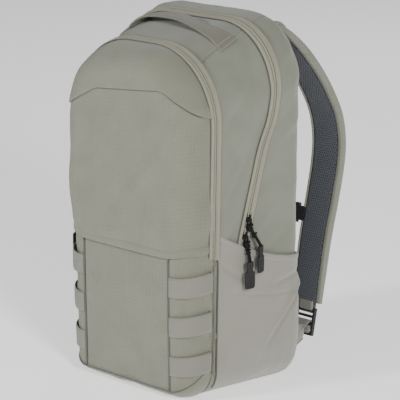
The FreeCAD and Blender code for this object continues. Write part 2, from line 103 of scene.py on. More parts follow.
class Ring:
    """The arch-shaped sections of the body at depths y, measured along from the base's middle."""

    def __init__(self, y, grow=0.0):
        share = np.clip((y - FRONT_ZIP_Y) / (REAR_RING_Y - FRONT_ZIP_Y), 0, 1)
        inset = rim_inset(y)
        self.half = mix(FRONT_HALF, REAR_HALF, share) - inset + grow
        self.foot = self.half - FOOT_TAPER * (1 - 0.5 * share)
        self.top = mix(FRONT_TOP, REAR_TOP, share) - inset + grow
        self.low = 0.4 * inset - np.minimum(grow, 0.0)
        self.crown = mix(FRONT_CROWN, REAR_CROWN, share) - 0.5 * inset
        self.heel = HEEL - 0.4 * inset
        flat = self.foot - self.heel
        rise = self.top - self.crown - self.low - self.heel
        side = np.hypot(rise, self.half - self.foot)
        self.marks = np.cumsum([flat, self.heel * math.pi / 2, side, self.crown * math.pi / 2,
                                self.half - self.crown], axis=0)

    def point(self, along, hand=1.0):
        """X and Z at the distance along, on the left where hand is below 0."""
        m = self.marks
        heel_turn = np.clip((along - m[0]) / self.heel, 0, math.pi / 2)
        crown_turn = np.clip((along - m[2]) / self.crown, 0, math.pi / 2)
        side = np.clip((along - m[1]) / (m[2] - m[1]), 0, 1)
        x = np.minimum(along, m[0]) + self.heel * np.sin(heel_turn)
        x = x + (self.half - self.foot) * side
        x = x - self.crown * (1 - np.cos(crown_turn)) - np.maximum(along - m[3], 0)
        z = self.low + self.heel * (1 - np.cos(heel_turn))
        z = z + (self.top - self.crown - self.low - self.heel) * side
        return x * np.sign(hand + 1e-12), z + self.crown * np.sin(crown_turn)

    def at_z(self, z):
        """Distance along to height z on the side."""
        low = self.low + self.heel
        return self.marks[1] + (self.marks[2] - self.marks[1]) * (z - low) / (
            self.top - self.crown - low)

    def at_x(self, x):
        """Distance along to half width x on the crown."""
        turn = np.arccos(np.clip(1 - (self.half - x) / self.crown, -1, 1))
        return self.marks[2] + self.crown * turn


def hem_z(y):
    """Height of the lid's lower edge, a line through the hinge."""
    return HINGE[2] + (ZIP_LINE[0][1] - HINGE[2]) * (y - HINGE[1]) / (ZIP_LINE[0][0] - HINGE[1])


def smooth_line(points, count):
    """A Catmull-Rom curve through points, sampled evenly in its parameter."""
    p = np.array(points, float)
    p = np.vstack([2 * p[0] - p[1], p, 2 * p[-1] - p[-2]])
    spans = len(p) - 3
    t = np.linspace(0, spans - 1e-9, count)
    i = t.astype(int)
    f = (t - i)[:, None]
    a, b, c, d = p[i], p[i + 1], p[i + 2], p[i + 3]
    return 0.5 * (2 * b + (c - a) * f + (2 * a - 5 * b + 4 * c - d) * f ** 2
                  + (3 * b - a - 3 * c + d) * f ** 3)


_zip_curve = smooth_line(ZIP_LINE, 200)


def zip_y(z):
    """Depth of the main zip's centre at height z."""
    slope = (ZIP_LINE[1][0] - ZIP_LINE[0][0]) / (ZIP_LINE[1][1] - ZIP_LINE[0][1])
    straight = ZIP_LINE[0][0] + (z - ZIP_LINE[0][1]) * slope
    return np.where(z < ZIP_LINE[1][1], straight,
                    np.interp(z, _zip_curve[:, 1], _zip_curve[:, 0]))


# Noise and folds -----------------------------------------------------------------------------

def value_noise(u, v, seed):
    """Smooth noise from -1 to 1 on a unit lattice, the same on each run."""
    def lattice(i, j):
        h = np.sin(i * 127.1 + j * 311.7 + seed * 74.7) * 43758.5453
        return 2 * (h - np.floor(h)) - 1
    i, j = np.floor(u), np.floor(v)
    fu, fv = ease(u - i), ease(v - j)
    low = mix(lattice(i, j), lattice(i + 1, j), fu)
    high = mix(lattice(i, j + 1), lattice(i + 1, j + 1), fu)
    return mix(low, high, fv)


def folds(u, v, angle, size, stretch, seed):
    """Soft drag lines in cloth: noise drawn out along angle (degrees), size metres across."""
    a = math.radians(angle)
    along = (u * math.cos(a) + v * math.sin(a)) / (size * stretch)
    across = (v * math.cos(a) - u * math.sin(a)) / size
    wander = 0.4 * value_noise(along * 1.7, across * 0.6, seed + 5)
    n = value_noise(along, across + wander, seed)
    return n + 0.35 * value_noise(along * 2.1, across * 2.2 + wander, seed + 9)


def drag(grid, angle, size, stretch, seed, u=0, v=2):
    """Folds over a grid of points, laid out along its axes u and v."""
    return folds(grid[..., u], grid[..., v], angle, size, stretch, seed)


def edge_puff(rows, cols, lengths, reach=0.012):
    """0 on a patch's edges, rising to 1 inside over reach metres."""
    a, b = shares(rows, cols)
    near = np.minimum(np.minimum(a, 1 - a) * lengths[0], np.minimum(b, 1 - b) * lengths[1])
    return 1 - np.exp(-near / reach)


# Meshes --------------------------------------------------------------------------------------

def unit(v):
    """Vectors of length 1 along the last axis."""
    return v / np.maximum(np.linalg.norm(v, axis=-1, keepdims=True), 1e-9)


def run_of(points):
    """Distance along a line of points to each of them."""
    step = np.linalg.norm(np.diff(points, axis=0), axis=1)
    return np.concatenate([[0], np.cumsum(step)])


def normals_of(grid):
    """Unit normals of a grid of points."""
    return unit(np.cross(np.gradient(grid, axis=0), np.gradient(grid, axis=1)))


def push(grid, amount, outward):
    """Moves a grid's points along its normals, which are turned to agree with outward."""
    n = normals_of(grid)
    middle = n[n.shape[0] // 2, n.shape[1] // 2]
    sign = 1.0 if np.dot(middle, outward) > 0 else -1.0
    return grid + n * sign * np.asarray(amount)[..., None]


def uv_of(grid):
    """Texture coordinates in metres, measured along the rows and columns."""
    du = np.linalg.norm(np.diff(grid, axis=0), axis=2)
    dv = np.linalg.norm(np.diff(grid, axis=1), axis=2)
    u = np.zeros(grid.shape[:2])
    v = np.zeros(grid.shape[:2])
    u[1:] = np.cumsum(du, axis=0)
    v[:, 1:] = np.cumsum(dv, axis=1)
    u = u - u.mean(axis=0) + grid[..., 1].mean()
    return np.stack([u.mean(axis=1)[:, None] + 0 * u, v], axis=2)


def link(name, verts, faces, material, uvs=None):
    mesh = bpy.data.meshes.new(name)
    mesh.from_pydata([tuple(v) for v in verts], [], faces)
    mesh.materials.append(material)
    if uvs is not None:
        layer = mesh.uv_layers.new(name="cloth")
        loops = np.zeros(len(mesh.loops), int)
        mesh.loops.foreach_get("vertex_index", loops)
        layer.data.foreach_set("uv", np.asarray(uvs, float)[loops].ravel())
    mesh.shade_smooth()
    piece = bpy.data.objects.new(name, mesh)
    bpy.context.scene.collection.objects.link(piece)
    return piece


def sheet_faces(rows, cols, flip=False):
    faces = []
    for i in range(rows - 1):
        for j in range(cols - 1):
            a, b = i * cols + j, i * cols + j + 1
            c, d = b + cols, a + cols
            faces.append((a, d, c, b) if flip else (a, b, c, d))
    return faces


def patch(name, grid, material, outward, thick=0.0014, roll=0.0012):
    """A fabric panel: a grid of points with its edges turned under, and a real thickness."""
    rows, cols = grid.shape[:2]
    n = normals_of(grid)
    if np.dot(n[rows // 2, cols // 2], outward) < 0:
        n = -n
    under = np.zeros((rows, cols))
    under[0] = under[-1] = roll
    under[:, 0] = under[:, -1] = roll
    outer = grid - n * under[..., None]
    inner = grid - n * (thick + 0.6 * under[..., None])
    uv = uv_of(grid).reshape(-1, 2)
    flip = np.dot(np.cross(grid[rows // 2 + 1, cols // 2] - grid[rows // 2, cols // 2],
                           grid[rows // 2, cols // 2 + 1] - grid[rows // 2, cols // 2]),
                  outward) > 0
    count = rows * cols
    faces = sheet_faces(rows, cols, flip)
    faces += [tuple(count + k for k in reversed(f)) for f in sheet_faces(rows, cols, flip)]
    rim = [i * cols for i in range(rows)] + [(rows - 1) * cols + j for j in range(1, cols)]
    rim += [i * cols + cols - 1 for i in range(rows - 2, -1, -1)]
    rim += list(range(cols - 2, 0, -1))
    for a, b in zip(rim, rim[1:] + rim[:1]):
        side = (a, b, b + count, a + count)
        faces.append(side if not flip else tuple(reversed(side)))
    verts = np.vstack([outer.reshape(-1, 3), inner.reshape(-1, 3)])
    return link(name, verts, faces, material, np.vstack([uv, uv]))


def place(piece, body, slot, *nodes):
    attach(piece, body)
    if nodes:
        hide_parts(*nodes)
    return piece


def cloth(name, grid, material, outward, body, slot, nodes=(), thick=0.0014, roll=0.0012):
    """A fabric panel that rides on a body and stands for CAD nodes."""
    return place(patch(name, grid, material, outward, thick, roll), body, slot, *nodes)


def sweep(name, path, section, material, ups):
    """A closed section (list of x, y) carried along a path of points."""
    p = np.array(path, float)
    t = unit(np.gradient(p, axis=0))
    s = unit(np.cross(t, ups))
    u = np.cross(s, t)
    sec = np.tile(np.array(section, float), (len(p), 1, 1))
    verts = (p[:, None] + s[:, None] * sec[..., :1] + u[:, None] * sec[..., 1:]).reshape(-1, 3)
    k = sec.shape[1]
    faces = [(i * k + j, i * k + (j + 1) % k, (i + 1) * k + (j + 1) % k, (i + 1) * k + j)
             for i in range(len(p) - 1) for j in range(k)]
    faces += [tuple(range(k - 1, -1, -1)), tuple((len(p) - 1) * k + j for j in range(k))]
    edge = np.linalg.norm(np.roll(sec[0], -1, axis=0) - sec[0], axis=1)
    around = np.concatenate([[0], np.cumsum(edge)[:-1]])
    uvs = np.array([(a, b) for a in run_of(p) for b in around])
    return link(name, verts, faces, material, uvs)


def pipe(name, path, radius, material, sides=8):
    """A round cord along points: binding and piping, and also thin dark lines of painted shade."""
    ring = [(radius * math.cos(a), radius * math.sin(a))
            for a in np.linspace(0, 2 * math.pi, sides, endpoint=False)]
    return sweep(name, path, ring, material, side_ups(path))


def side_ups(path):
    """An up direction for each point that is never along the path."""
    up = np.array([0.31, 0.83, 0.46])
    out = []
    for d in unit(np.gradient(np.array(path, float), axis=0)):
        up = unit(up - d * np.dot(up, d))
        out.append(up)
    return np.array(out)


def blocks(name, centres, axes, size, material):
    """Many small chamfered blocks: centres (n, 3), axes (n, 3, 3) and size (3)."""
    size = np.array(size)
    corners = np.array([(x, y, z) for x in (-1, 1) for y in (-1, 1) for z in (-1, 1)], float)
    local = np.vstack([corners * (1.0, 0.6, 0.6), corners * (0.6, 1.0, 1.0)]) * size / 2
    rings = [(0, 1, 3, 2), (4, 6, 7, 5), (8, 12, 13, 9), (10, 11, 15, 14), (8, 10, 14, 12),
             (9, 13, 15, 11), (0, 8, 9, 1), (2, 3, 11, 10), (0, 2, 10, 8), (1, 9, 11, 3),
             (4, 5, 13, 12), (6, 14, 15, 7), (4, 12, 14, 6), (5, 7, 15, 13)]
    verts = centres[:, None] + np.einsum("kc,ncd->nkd", local, axes)
    faces = [tuple(16 * i + k for k in ring) for i in range(len(centres)) for ring in rings]
    return link(name, verts.reshape(-1, 3), faces, material)


# Materials -----------------------------------------------------------------------------------

class Graph:
    """A material's node tree, with short ways to add its nodes."""

    def __init__(self, name, rough, sheen=0.0):
        self.material = bpy.data.materials.new(name)
        self.material.use_nodes = True
        self.nodes = self.material.node_tree.nodes
        self.links = self.material.node_tree.links
        self.shader = self.nodes["Principled BSDF"]
        self.shader.inputs["Roughness"].default_value = rough
        self.shader.inputs["Sheen Weight"].default_value = sheen
        self.shader.inputs["Sheen Roughness"].default_value = 0.6
        self.shader.inputs["Specular IOR Level"].default_value = 0.3

    def feed(self, socket, value):
        if isinstance(value, (int, float, tuple)):
            socket.default_value = value
        else:
            self.links.new(value, socket)

    def math(self, kind, a, b=0.0, c=0.0):
        node = self.nodes.new("ShaderNodeMath")
        node.operation = kind
        for socket, value in zip(node.inputs, (a, b, c)):
            self.feed(socket, value)
        return node.outputs[0]

    def coords(self, use_uv):
        if use_uv:
            node = self.nodes.new("ShaderNodeUVMap")
            node.uv_map = "cloth"
            out = node.outputs[0]
        else:
            out = self.nodes.new("ShaderNodeTexCoord").outputs["Object"]
        split = self.nodes.new("ShaderNodeSeparateXYZ")
        self.links.new(out, split.inputs[0])
        return out, split.outputs[0], split.outputs[1]

    def noise(self, vector, scale, detail=2.0):
        node = self.nodes.new("ShaderNodeTexNoise")
        self.links.new(vector, node.inputs["Vector"])
        node.inputs["Scale"].default_value = scale
        node.inputs["Detail"].default_value = detail
        return node.outputs["Fac"]

    def wave(self, value, period, power=1.0):
        """0 to 1 and back once each period."""
        turn = self.math("MULTIPLY", value, 2 * math.pi / period)
        up = self.math("MULTIPLY_ADD", self.math("SINE", turn), 0.5, 0.5)
        return up if power == 1.0 else self.math("POWER", up, power)

    def ramp(self, value, low, high, start=0.0, end=1.0):
        node = self.nodes.new("ShaderNodeMapRange")
        self.feed(node.inputs["Value"], value)
        for key, number in (("From Min", low), ("From Max", high), ("To Min", start),
                            ("To Max", end)):
            node.inputs[key].default_value = number
        return node.outputs[0]

    def colour(self, base, share, dark=0.8, light=1.15):
        """The base colour, from dark to light times itself as share goes from 0 to 1."""
        node = self.nodes.new("ShaderNodeMix")
        node.data_type = "RGBA"
        self.feed(node.inputs["Factor"], share)
        node.inputs["A"].default_value = tuple(c * dark for c in base) + (1.0,)
        node.inputs["B"].default_value = tuple(min(c * light, 1.0) for c in base) + (1.0,)
        self.links.new(node.outputs["Result"], self.shader.inputs["Base Color"])
        return node

    def bump(self, height, distance, strength=0.6):
        node = self.nodes.new("ShaderNodeBump")
        node.inputs["Strength"].default_value = strength
        node.inputs["Distance"].default_value = distance
        self.links.new(height, node.inputs["Height"])
        self.links.new(node.outputs[0], self.shader.inputs["Normal"])


def woven(name, base, thread=0.0009, ripstop=0.0, mottle=0.35, rough=0.82, sheen=0.25, uv=True):
    """Plain-woven cloth: crossing threads, slubs and mottling, and ripstop lines if asked."""
    g = Graph(name, rough, sheen)
    vector, u, v = g.coords(uv)
    warp = g.wave(u, thread)
    weft = g.wave(v, thread)
    weave = g.math("MULTIPLY", warp, weft)
    slub = g.noise(vector, 900.0, 3.0)
    cloud = g.noise(vector, 26.0, 3.0)
    height = g.math("ADD", weave, g.math("MULTIPLY", slub, 0.5))
    share = g.math("ADD", g.ramp(cloud, 0.3, 0.7, 0.5 - mottle, 0.5 + mottle),
                   g.math("MULTIPLY", g.math("SUBTRACT", slub, 0.5), 0.7))
    if ripstop:
        lines = g.math("MAXIMUM", g.wave(u, ripstop, 26.0), g.wave(v, ripstop, 26.0))
        height = g.math("ADD", height, g.math("MULTIPLY", lines, 2.2))
        share = g.math("ADD", share, g.math("MULTIPLY", lines, 0.55))
    g.colour(base, share, 0.86, 1.12)
    g.bump(height, 0.00022, 0.55)
    return g.material


def tape_cloth(name, base, rib, rough=0.78):
    """Narrow woven tape or webbing: ribs across it, finer threads along it."""
    g = Graph(name, rough, 0.2)
    vector, u, v = g.coords(True)
    ribs = g.wave(u, rib)
    cords = g.wave(v, rib * 1.7)
    slub = g.noise(vector, 1100.0, 2.0)
    height = g.math("ADD", g.math("MULTIPLY", ribs, 0.9), g.math("MULTIPLY", cords, 0.6))
    share = g.math("ADD", g.math("MULTIPLY", ribs, 0.35), g.math("MULTIPLY", slub, 0.6))
    g.colour(base, share, 0.84, 1.14)
    g.bump(g.math("ADD", height, slub), 0.00035, 0.6)
    return g.material


def knit_mesh(name, base, pitch):
    """Spacer mesh: a net of open cells on a hexagonal lattice over a darker ground."""
    g = Graph(name, 0.9, 0.15)
    vector, u, v = g.coords(True)
    half = g.math("MULTIPLY", u, 0.5)
    slant = g.math("MULTIPLY", v, 0.8660254)
    total = g.wave(u, pitch)
    total = g.math("ADD", total, g.wave(g.math("ADD", half, slant), pitch))
    total = g.math("ADD", total, g.wave(g.math("SUBTRACT", slant, half), pitch))
    net = g.ramp(total, 1.70, 2.30, 1.0, 0.0)
    fuzz = g.noise(vector, 1400.0, 2.0)
    g.colour(base, g.math("MULTIPLY", net, g.ramp(fuzz, 0.2, 0.8, 0.75, 1.0)), 0.28, 1.9)
    g.bump(g.math("ADD", net, g.math("MULTIPLY", fuzz, 0.2)), 0.0009, 0.8)
    return g.material


def stretch_knit(name, base):
    """Smooth stretch cloth with fine vertical wales."""
    g = Graph(name, 0.72, 0.3)
    vector, u, v = g.coords(True)
    wales = g.wave(u, 0.0011)
    courses = g.wave(v, 0.0016)
    cloud = g.noise(vector, 30.0, 3.0)
    slub = g.noise(vector, 1000.0, 2.0)
    g.colour(base, g.math("ADD", g.math("MULTIPLY", cloud, 0.6), g.math("MULTIPLY", slub, 0.4)),
             0.88, 1.1)
    g.bump(g.math("ADD", g.math("ADD", wales, courses), slub), 0.00016, 0.5)
    return g.material


def moulded(name, base, rough, grain=700.0, depth=0.00012, metallic=0.0):
    """Moulded plastic, rubber or painted metal with a fine grain and slight scuffing."""
    g = Graph(name, rough)
    vector, _, _ = g.coords(False)
    fine = g.noise(vector, grain, 3.0)
    scuff = g.noise(vector, 60.0, 4.0)
    g.shader.inputs["Metallic"].default_value = metallic
    g.colour(base, g.math("ADD", g.math("MULTIPLY", scuff, 0.6), g.math("MULTIPLY", fine, 0.3)),
             0.7, 1.5)
    g.links.new(g.ramp(scuff, 0.3, 0.75, rough - 0.1, rough + 0.12),
                g.shader.inputs["Roughness"])
    g.bump(fine, depth, 0.4)
    return g.material


def braid(name, base):
    """Braided cord: crossing diagonal strands."""
    g = Graph(name, 0.6)
    g.shader.inputs["Specular IOR Level"].default_value = 0.15
    vector, _, _ = g.coords(False)
    checks = g.nodes.new("ShaderNodeTexVoronoi")
    g.links.new(vector, checks.inputs["Vector"])
    checks.inputs["Scale"].default_value = 1500.0
    cells = checks.outputs["Distance"]
    g.colour(base, cells, 1.6, 0.5)
    g.bump(g.math("SUBTRACT", 1.0, cells), 0.0003, 0.7)
    return g.material


SAGE = (0.151, 0.154, 0.113)
ripstop = woven("ripstop", SAGE, ripstop=0.0052, mottle=0.28)
plain = woven("plain_side", (0.158, 0.165, 0.126), thread=0.0007, mottle=0.3, rough=0.74)
stretch = stretch_knit("stretch", (0.212, 0.202, 0.170))
zip_cloth = tape_cloth("zip_tape", (0.235, 0.229, 0.165), 0.0010, 0.6)
webbing = tape_cloth("webbing", (0.172, 0.168, 0.138), 0.0016)
handle_cloth = tape_cloth("handle_webbing", (0.135, 0.132, 0.098), 0.0013)
piping = woven("piping", (0.070, 0.070, 0.055), thread=0.0008, rough=0.8)
strap_cloth = woven("strap_cloth", (0.165, 0.168, 0.130), ripstop=0.0052, mottle=0.25)
air_mesh = knit_mesh("air_mesh", (0.040, 0.044, 0.051), 0.0032)
zip_shadow = woven("zip_shadow", (0.045, 0.045, 0.035), thread=0.0008, rough=0.8, sheen=0.0)
dark_cloth = woven("dark_cloth", (0.060, 0.062, 0.068), thread=0.0010, rough=0.85)
lining = woven("lining", (0.200, 0.200, 0.185), thread=0.0008, rough=0.7, uv=False)
coil = moulded("coil", (0.070, 0.070, 0.062), 0.45, 1500.0)
black_plastic = moulded("black_plastic", (0.020, 0.020, 0.022), 0.5)
slider_black = moulded("slider_black", (0.016, 0.016, 0.017), 0.38, 900.0, 0.00005, 0.3)
rubber = moulded("rubber", (0.011, 0.0104, 0.0115), 0.62)
cord_black = braid("cord_black", (0.007, 0.007, 0.008))
sheet_plastic = moulded("sheet_plastic", (0.05, 0.05, 0.052), 0.4)
foam_grey = moulded("foam_grey", (0.08, 0.08, 0.085), 0.9, 1400.0, 0.0004)
thread_pale = woven("thread_pale", (0.36, 0.36, 0.31), thread=0.0004, uv=False)
thread_dark = woven("thread_dark", (0.10, 0.10, 0.085), thread=0.0004, uv=False)


# Panels --------------------------------------------------------------------------------------

def cap_depth(x, z, recess=0.0):
    """Depth (Y) of the front face at x, z: a quarter-round rim, then a gently crowned face."""
    x = np.abs(x)
    crown_z = FRONT_TOP - FRONT_CROWN
    half = FRONT_HALF - FOOT_TAPER * np.clip((crown_z - z) / (crown_z - HEEL), 0, 1)
    edge = half - x
    over = np.clip(x - (FRONT_HALF - FRONT_CROWN), 0, None)
    up = np.clip(z - crown_z, 0, None)
    edge = np.minimum(edge, np.where(z > crown_z, FRONT_CROWN - np.hypot(over, up), 1.0))
    out = np.clip(x - (half - HEEL), 0, None)
    down = np.clip(HEEL - z, 0, None)
    reach = np.hypot(out, down)
    tilt = down / np.maximum(reach, 1e-6)
    edge = np.minimum(edge, np.where(z < HEEL, (HEEL - reach) * (1 + 1.5 * tilt ** 2), 1.0))
    edge = np.clip(edge, 0, RIM_FRONT)
    rim = np.sqrt(np.clip(1 - (1 - edge / RIM_FRONT) ** 2, 0, 1))
    crown = 0.0030 * np.clip(1 - (x / 0.105) ** 2, 0, 1) * ease((z - 0.02) / 0.12) * ease(
        (FRONT_TOP - z) / 0.10)
    return FRONT_ZIP_Y + (FRONT_Y - FRONT_ZIP_Y + recess) * rim - crown * rim


def seam_z(x):
    """Height of the yoke's stepped lower edge."""
    return np.interp(x, [-0.113, -0.050, -0.042, 0.060, 0.070, 0.092, 0.113],
                     [0.345, 0.3779, 0.3806, 0.3900, 0.3880, 0.3735, 0.357])


ARCH_INSET = 0.0004


def arch_z(x):
    """Height of the front arch over x, just inside its rim."""
    over = np.clip(np.abs(x) - (FRONT_HALF - FRONT_CROWN), 0, None)
    r = FRONT_CROWN - ARCH_INSET
    return FRONT_TOP - FRONT_CROWN + np.sqrt(np.clip(r ** 2 - over ** 2, 0, None))


def hem_edge(x):
    """Height of the front panel's hem, which rises round the corners."""
    return 0.1852 + 0.006 * ease((np.abs(x) - 0.063) / 0.050)


def cap_grid(xs, bottom, top, rows, recess=0.0, bunch=None):
    """Points of the front face between two heights over each x."""
    b = np.linspace(0, 1, rows)[None, :]
    b = b if bunch is None else bunch(b)
    x = np.repeat(xs[:, None], rows, axis=1)
    z = bottom(xs)[:, None] * (1 - b) + top(xs)[:, None] * b
    return np.stack([x, cap_depth(x, z, recess), z], axis=2)


def spread(half, count):
    """Places across a width, closer together towards its ends."""
    return half * np.sin(np.linspace(-math.pi / 2, math.pi / 2, count))


wide = spread(FRONT_HALF - 0.0004, 150)
grid = cap_grid(wide, hem_edge, lambda x: np.minimum(seam_z(x) + 0.004, arch_z(x)), 100)
soft = drag(grid, 62, 0.020, 4.0, 3)
low_drag = drag(grid, 8, 0.012, 5.0, 7) * ease((0.215 - grid[..., 2]) / 0.03)
puff = edge_puff(150, 100, (0.30, 0.20), 0.026)
broad = drag(grid, 70, 0.055, 1.6, 12)
grid = push(grid, puff * (0.0016 + 0.0016 * soft + 0.0018 * low_drag + 0.0042 * broad), FORWARD)
cloth("front_panel_cloth", grid, ripstop, FORWARD, "front_flap", "shell_ripstop", ["front_panel"])

# The hem that overhangs the lower panel: a folded edge standing proud
hem_rows = np.linspace(0, 1, 9)[None, :]
hem_x = spread(FRONT_HALF - 0.0006, 150)
hx = np.repeat(hem_x[:, None], 9, axis=1)
hz = hem_edge(hem_x)[:, None] - 0.0022 + 0.0125 * hem_rows
bulge = np.sin(np.pi * hem_rows) * 0.0009 + 0.0009
hem_grid = np.stack([hx, cap_depth(hx, hz), hz], axis=2)
hem_grid = push(hem_grid, np.repeat(bulge, 150, axis=0), FORWARD)
cloth("front_hem", hem_grid, ripstop, FORWARD, "front_flap", "shell_ripstop", (), 0.0022, 0.0016)

wide = spread(FRONT_HALF - 0.0012, 150)
grid = cap_grid(wide, lambda x: np.minimum(seam_z(x), arch_z(x) - ARCH_INSET), arch_z, 60,
                bunch=lambda b: np.sin(b * math.pi / 2))
b = np.linspace(0, 1, 60)[None, :]
lift = 0.0034 * (1 - b) ** 0.8 + 0.0002
soft = drag(grid, 20, 0.018, 4.0, 17)
grid = push(grid, lift + 0.0011 * soft * edge_puff(150, 60, (0.3, 0.09), 0.02), FORWARD)
cloth("front_yoke_cloth", grid, ripstop, FORWARD, "front_flap", "shell_ripstop", ["front_yoke"],
      0.0020, 0.0010)

# A dark line under the yoke's edge: painted shadow of the overhanging yoke, a thin pipe in the piping
# colour
seam_x = spread(FRONT_HALF - 0.0050, 120)
heights = seam_z(seam_x) - 0.0004
line = np.stack([seam_x, cap_depth(seam_x, heights) - 0.0012, heights], axis=1)
place(pipe("yoke_shadow_line", line, 0.0006, piping), "front_flap", "shell_ripstop")


# Lower front panel and corner columns

def base_bunch(b):
    """Brings rows closer together round the foot, where the front turns under."""
    return np.where(b < 0.25, 0.075 * (1 - np.cos(b / 0.25 * math.pi / 2)),
                    0.075 + 0.925 * (b - 0.25) / 0.75)


def foot_z(x):
    """Height of the base's edge under x on the front ring."""
    half = FRONT_HALF - FOOT_TAPER
    out = np.clip(np.abs(x) - (half - HEEL), 0, HEEL)
    return HEEL - np.sqrt(np.clip(HEEL ** 2 - out ** 2, 0, None)) + 0.0002


across = np.linspace(-FRONT_SEAM_X + 0.0003, FRONT_SEAM_X - 0.0003, 90)
grid = cap_grid(across, foot_z, lambda x: hem_edge(x) - 0.0008, 100, 0.0034, base_bunch)
soft = drag(grid, 75, 0.022, 4.0, 31)
broad = drag(grid, 80, 0.045, 1.8, 33)
puff = edge_puff(90, 100, (0.15, 0.18))
grid = push(grid, puff * (0.0012 + 0.0012 * soft + 0.0014 * broad), FORWARD)
cloth("lower_front_cloth", grid, ripstop, FORWARD, "pack", "shell_ripstop", ["lower_front_panel"])


CORNER_OUT = np.array([0.7, -0.7, 0.0])


def corner_band(row):
    """A loop of load webbing over a corner column, bowed out and drooping at its middle."""
    t, w = shares(40, 9)
    xs = FRONT_SEAM_X + 0.0008 + (FRONT_HALF - FRONT_SEAM_X - 0.0012) * np.sin(t * math.pi / 2)
    droop = 0.0016 * np.sin(np.pi * t) * (0.5 if row == 1 else 1.0)
    zs = WEBBING_LOW + row * WEBBING_PITCH + 0.011 * t ** 1.3 + WEBBING_WIDTH * w - droop
    crown_z = FRONT_TOP - FRONT_CROWN
    taper = FOOT_TAPER * np.clip((crown_z - zs) / (crown_z - HEEL), 0, 1)
    xs = np.minimum(xs, FRONT_HALF - taper - 0.0002)
    strip = np.stack([xs, cap_depth(xs, zs, 0.0030), zs], axis=2)
    proud = 0.0016 + (0.0030 + 0.0006 * row) * np.sin(np.pi * t) ** 0.8
    proud = proud + 0.0003 * folds(t * 0.05, zs, 80, 0.01, 2.0, 60 + row)
    return push(strip, proud, CORNER_OUT)


corner_x = FRONT_SEAM_X + 0.0003 + (FRONT_HALF - FOOT_TAPER - FRONT_SEAM_X + 0.0053) * np.sin(
    np.linspace(0, math.pi / 2, 46))
for side, sign in SIDES:
    flip = flip_to(sign)
    grid = cap_grid(corner_x, foot_z, lambda x: hem_edge(x) + 0.001, 100, 0.0030, base_bunch)
    soft = folds(grid[..., 0] * sign, grid[..., 2], 15, 0.016, 3.0, 41 + sign)
    puff = edge_puff(46, 100, (0.06, 0.18), 0.008)
    grid = push(grid, puff * (0.0006 + 0.0008 * soft), CORNER_OUT)
    cloth("corner_cloth_" + side, grid * flip, ripstop, CORNER_OUT * flip, "pack",
          "shell_ripstop", ["corner_panel_" + side])
    for row in range(3):
        cloth("corner_webbing_%d_cloth_%s" % (row + 1, side), corner_band(row) * flip, webbing,
              CORNER_OUT * flip, "pack", "webbing", ["corner_webbing_%d_%s" % (row + 1, side)],
              0.0013, 0.0003)


# Side, top and base panels -------------------------------------------------------------------

def ring_grid(y_of, low_of, high_of, rows, cols):
    """Points of the body's side: columns run along each section, rows run from front to back.

    y_of(share, z) gives a row's depth, and low_of, high_of give where it starts and ends."""
    a, b = shares(rows, cols)
    y = y_of(a, np.full_like(a, 0.3))
    for _ in range(12):
        ring = Ring(y)
        along = mix(low_of(ring, y), high_of(ring, y), b)
        x, z = ring.point(along)
        y = 0.5 * y + 0.5 * y_of(a, z)
    return np.stack([x, y, z], axis=2)


def both_sides(name, grid, body, seed, wrinkle, angle=55, size=0.022, puffed=0.0008):
    """Makes a panel on the right and its mirror on the left, each with folds of its own."""
    for side, sign in SIDES:
        soft = drag(grid, angle, size, 4.0, seed + sign, u=1)
        puff = edge_puff(*grid.shape[:2], (0.1, 0.25))
        shape = push(grid, puff * (puffed + wrinkle * soft), RIGHT)
        nodes = [node for node in [name + "_" + side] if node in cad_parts]
        cloth(name + "_cloth_" + side, shape * flip_to(sign), plain, RIGHT * sign, body,
              "side_fabric", nodes)


def ahead_of_zip(a, z):
    return mix(FRONT_ZIP_Y + TAPE_HALF, zip_y(z) - TAPE_HALF, a)


def behind_zip(a, z):
    return mix(zip_y(z) + TAPE_HALF, PANEL_REAR_Y, a)


def top_seam(ring, y):
    return ring.at_x(TOP_SEAM_X)


def pocket_top(ring, y):
    """Where the panel behind a side pocket ends, under the lid's hem."""
    return ring.at_z(hem_z(np.minimum(y, -0.010)) - 0.0008)


grid = ring_grid(ahead_of_zip, lambda ring, y: ring.at_z(hem_z(y)), top_seam, 50, 150)
both_sides("lid_side", grid, "main_lid", 71, 0.0024)
grid = ring_grid(behind_zip, lambda ring, y: ring.at_z(0.158), top_seam, 50, 150)
both_sides("side_panel", grid, "pack", 83, 0.0026, 38, 0.020)
grid = ring_grid(lambda a, z: mix(FRONT_ZIP_Y + 0.0005, PANEL_REAR_Y, a),
                 lambda ring, y: ring.marks[0] * 0.97, pocket_top, 60, 70)
both_sides("side_low", grid, "pack", 91, 0.0, puffed=-0.0006)


def across_grid(y_of, rows, cols, half_x):
    """Points over the top from one seam to the other."""
    a = shares(rows, cols)[0]
    t = shares(rows, cols, -1.0)[1]
    y = y_of(a, np.full_like(a, 0.45))
    ring = Ring(y)
    along = mix(ring.marks[4], ring.at_x(half_x), np.abs(t))
    x, z = ring.point(along, t)
    return np.stack([x, y, z], axis=2)


for name, y_of, body, seed in (("lid_top_panel", ahead_of_zip, "main_lid", 101),
                               ("rear_top_panel", behind_zip, "pack", 107)):
    grid = across_grid(y_of, 40, 90, TOP_SEAM_X + 0.0008)
    soft = drag(grid, 80, 0.016, 3.0, seed, v=1)
    grid = push(grid, edge_puff(40, 90, (0.08, 0.17)) * (0.0004 + 0.0007 * soft), UP)
    cloth(name + "_cloth", grid, plain, UP, body, "side_fabric", [name])

t = shares(50, 80, -1.0)[1]
y = mix(FRONT_ZIP_Y, PANEL_REAR_Y, shares(50, 80)[0])
ring = Ring(y)
x, z = ring.point(np.abs(t) * ring.marks[0], t)
cloth("base_cloth", np.stack([x, y, z], axis=2), ripstop, -UP, "pack", "shell_ripstop", ["base_panel"])

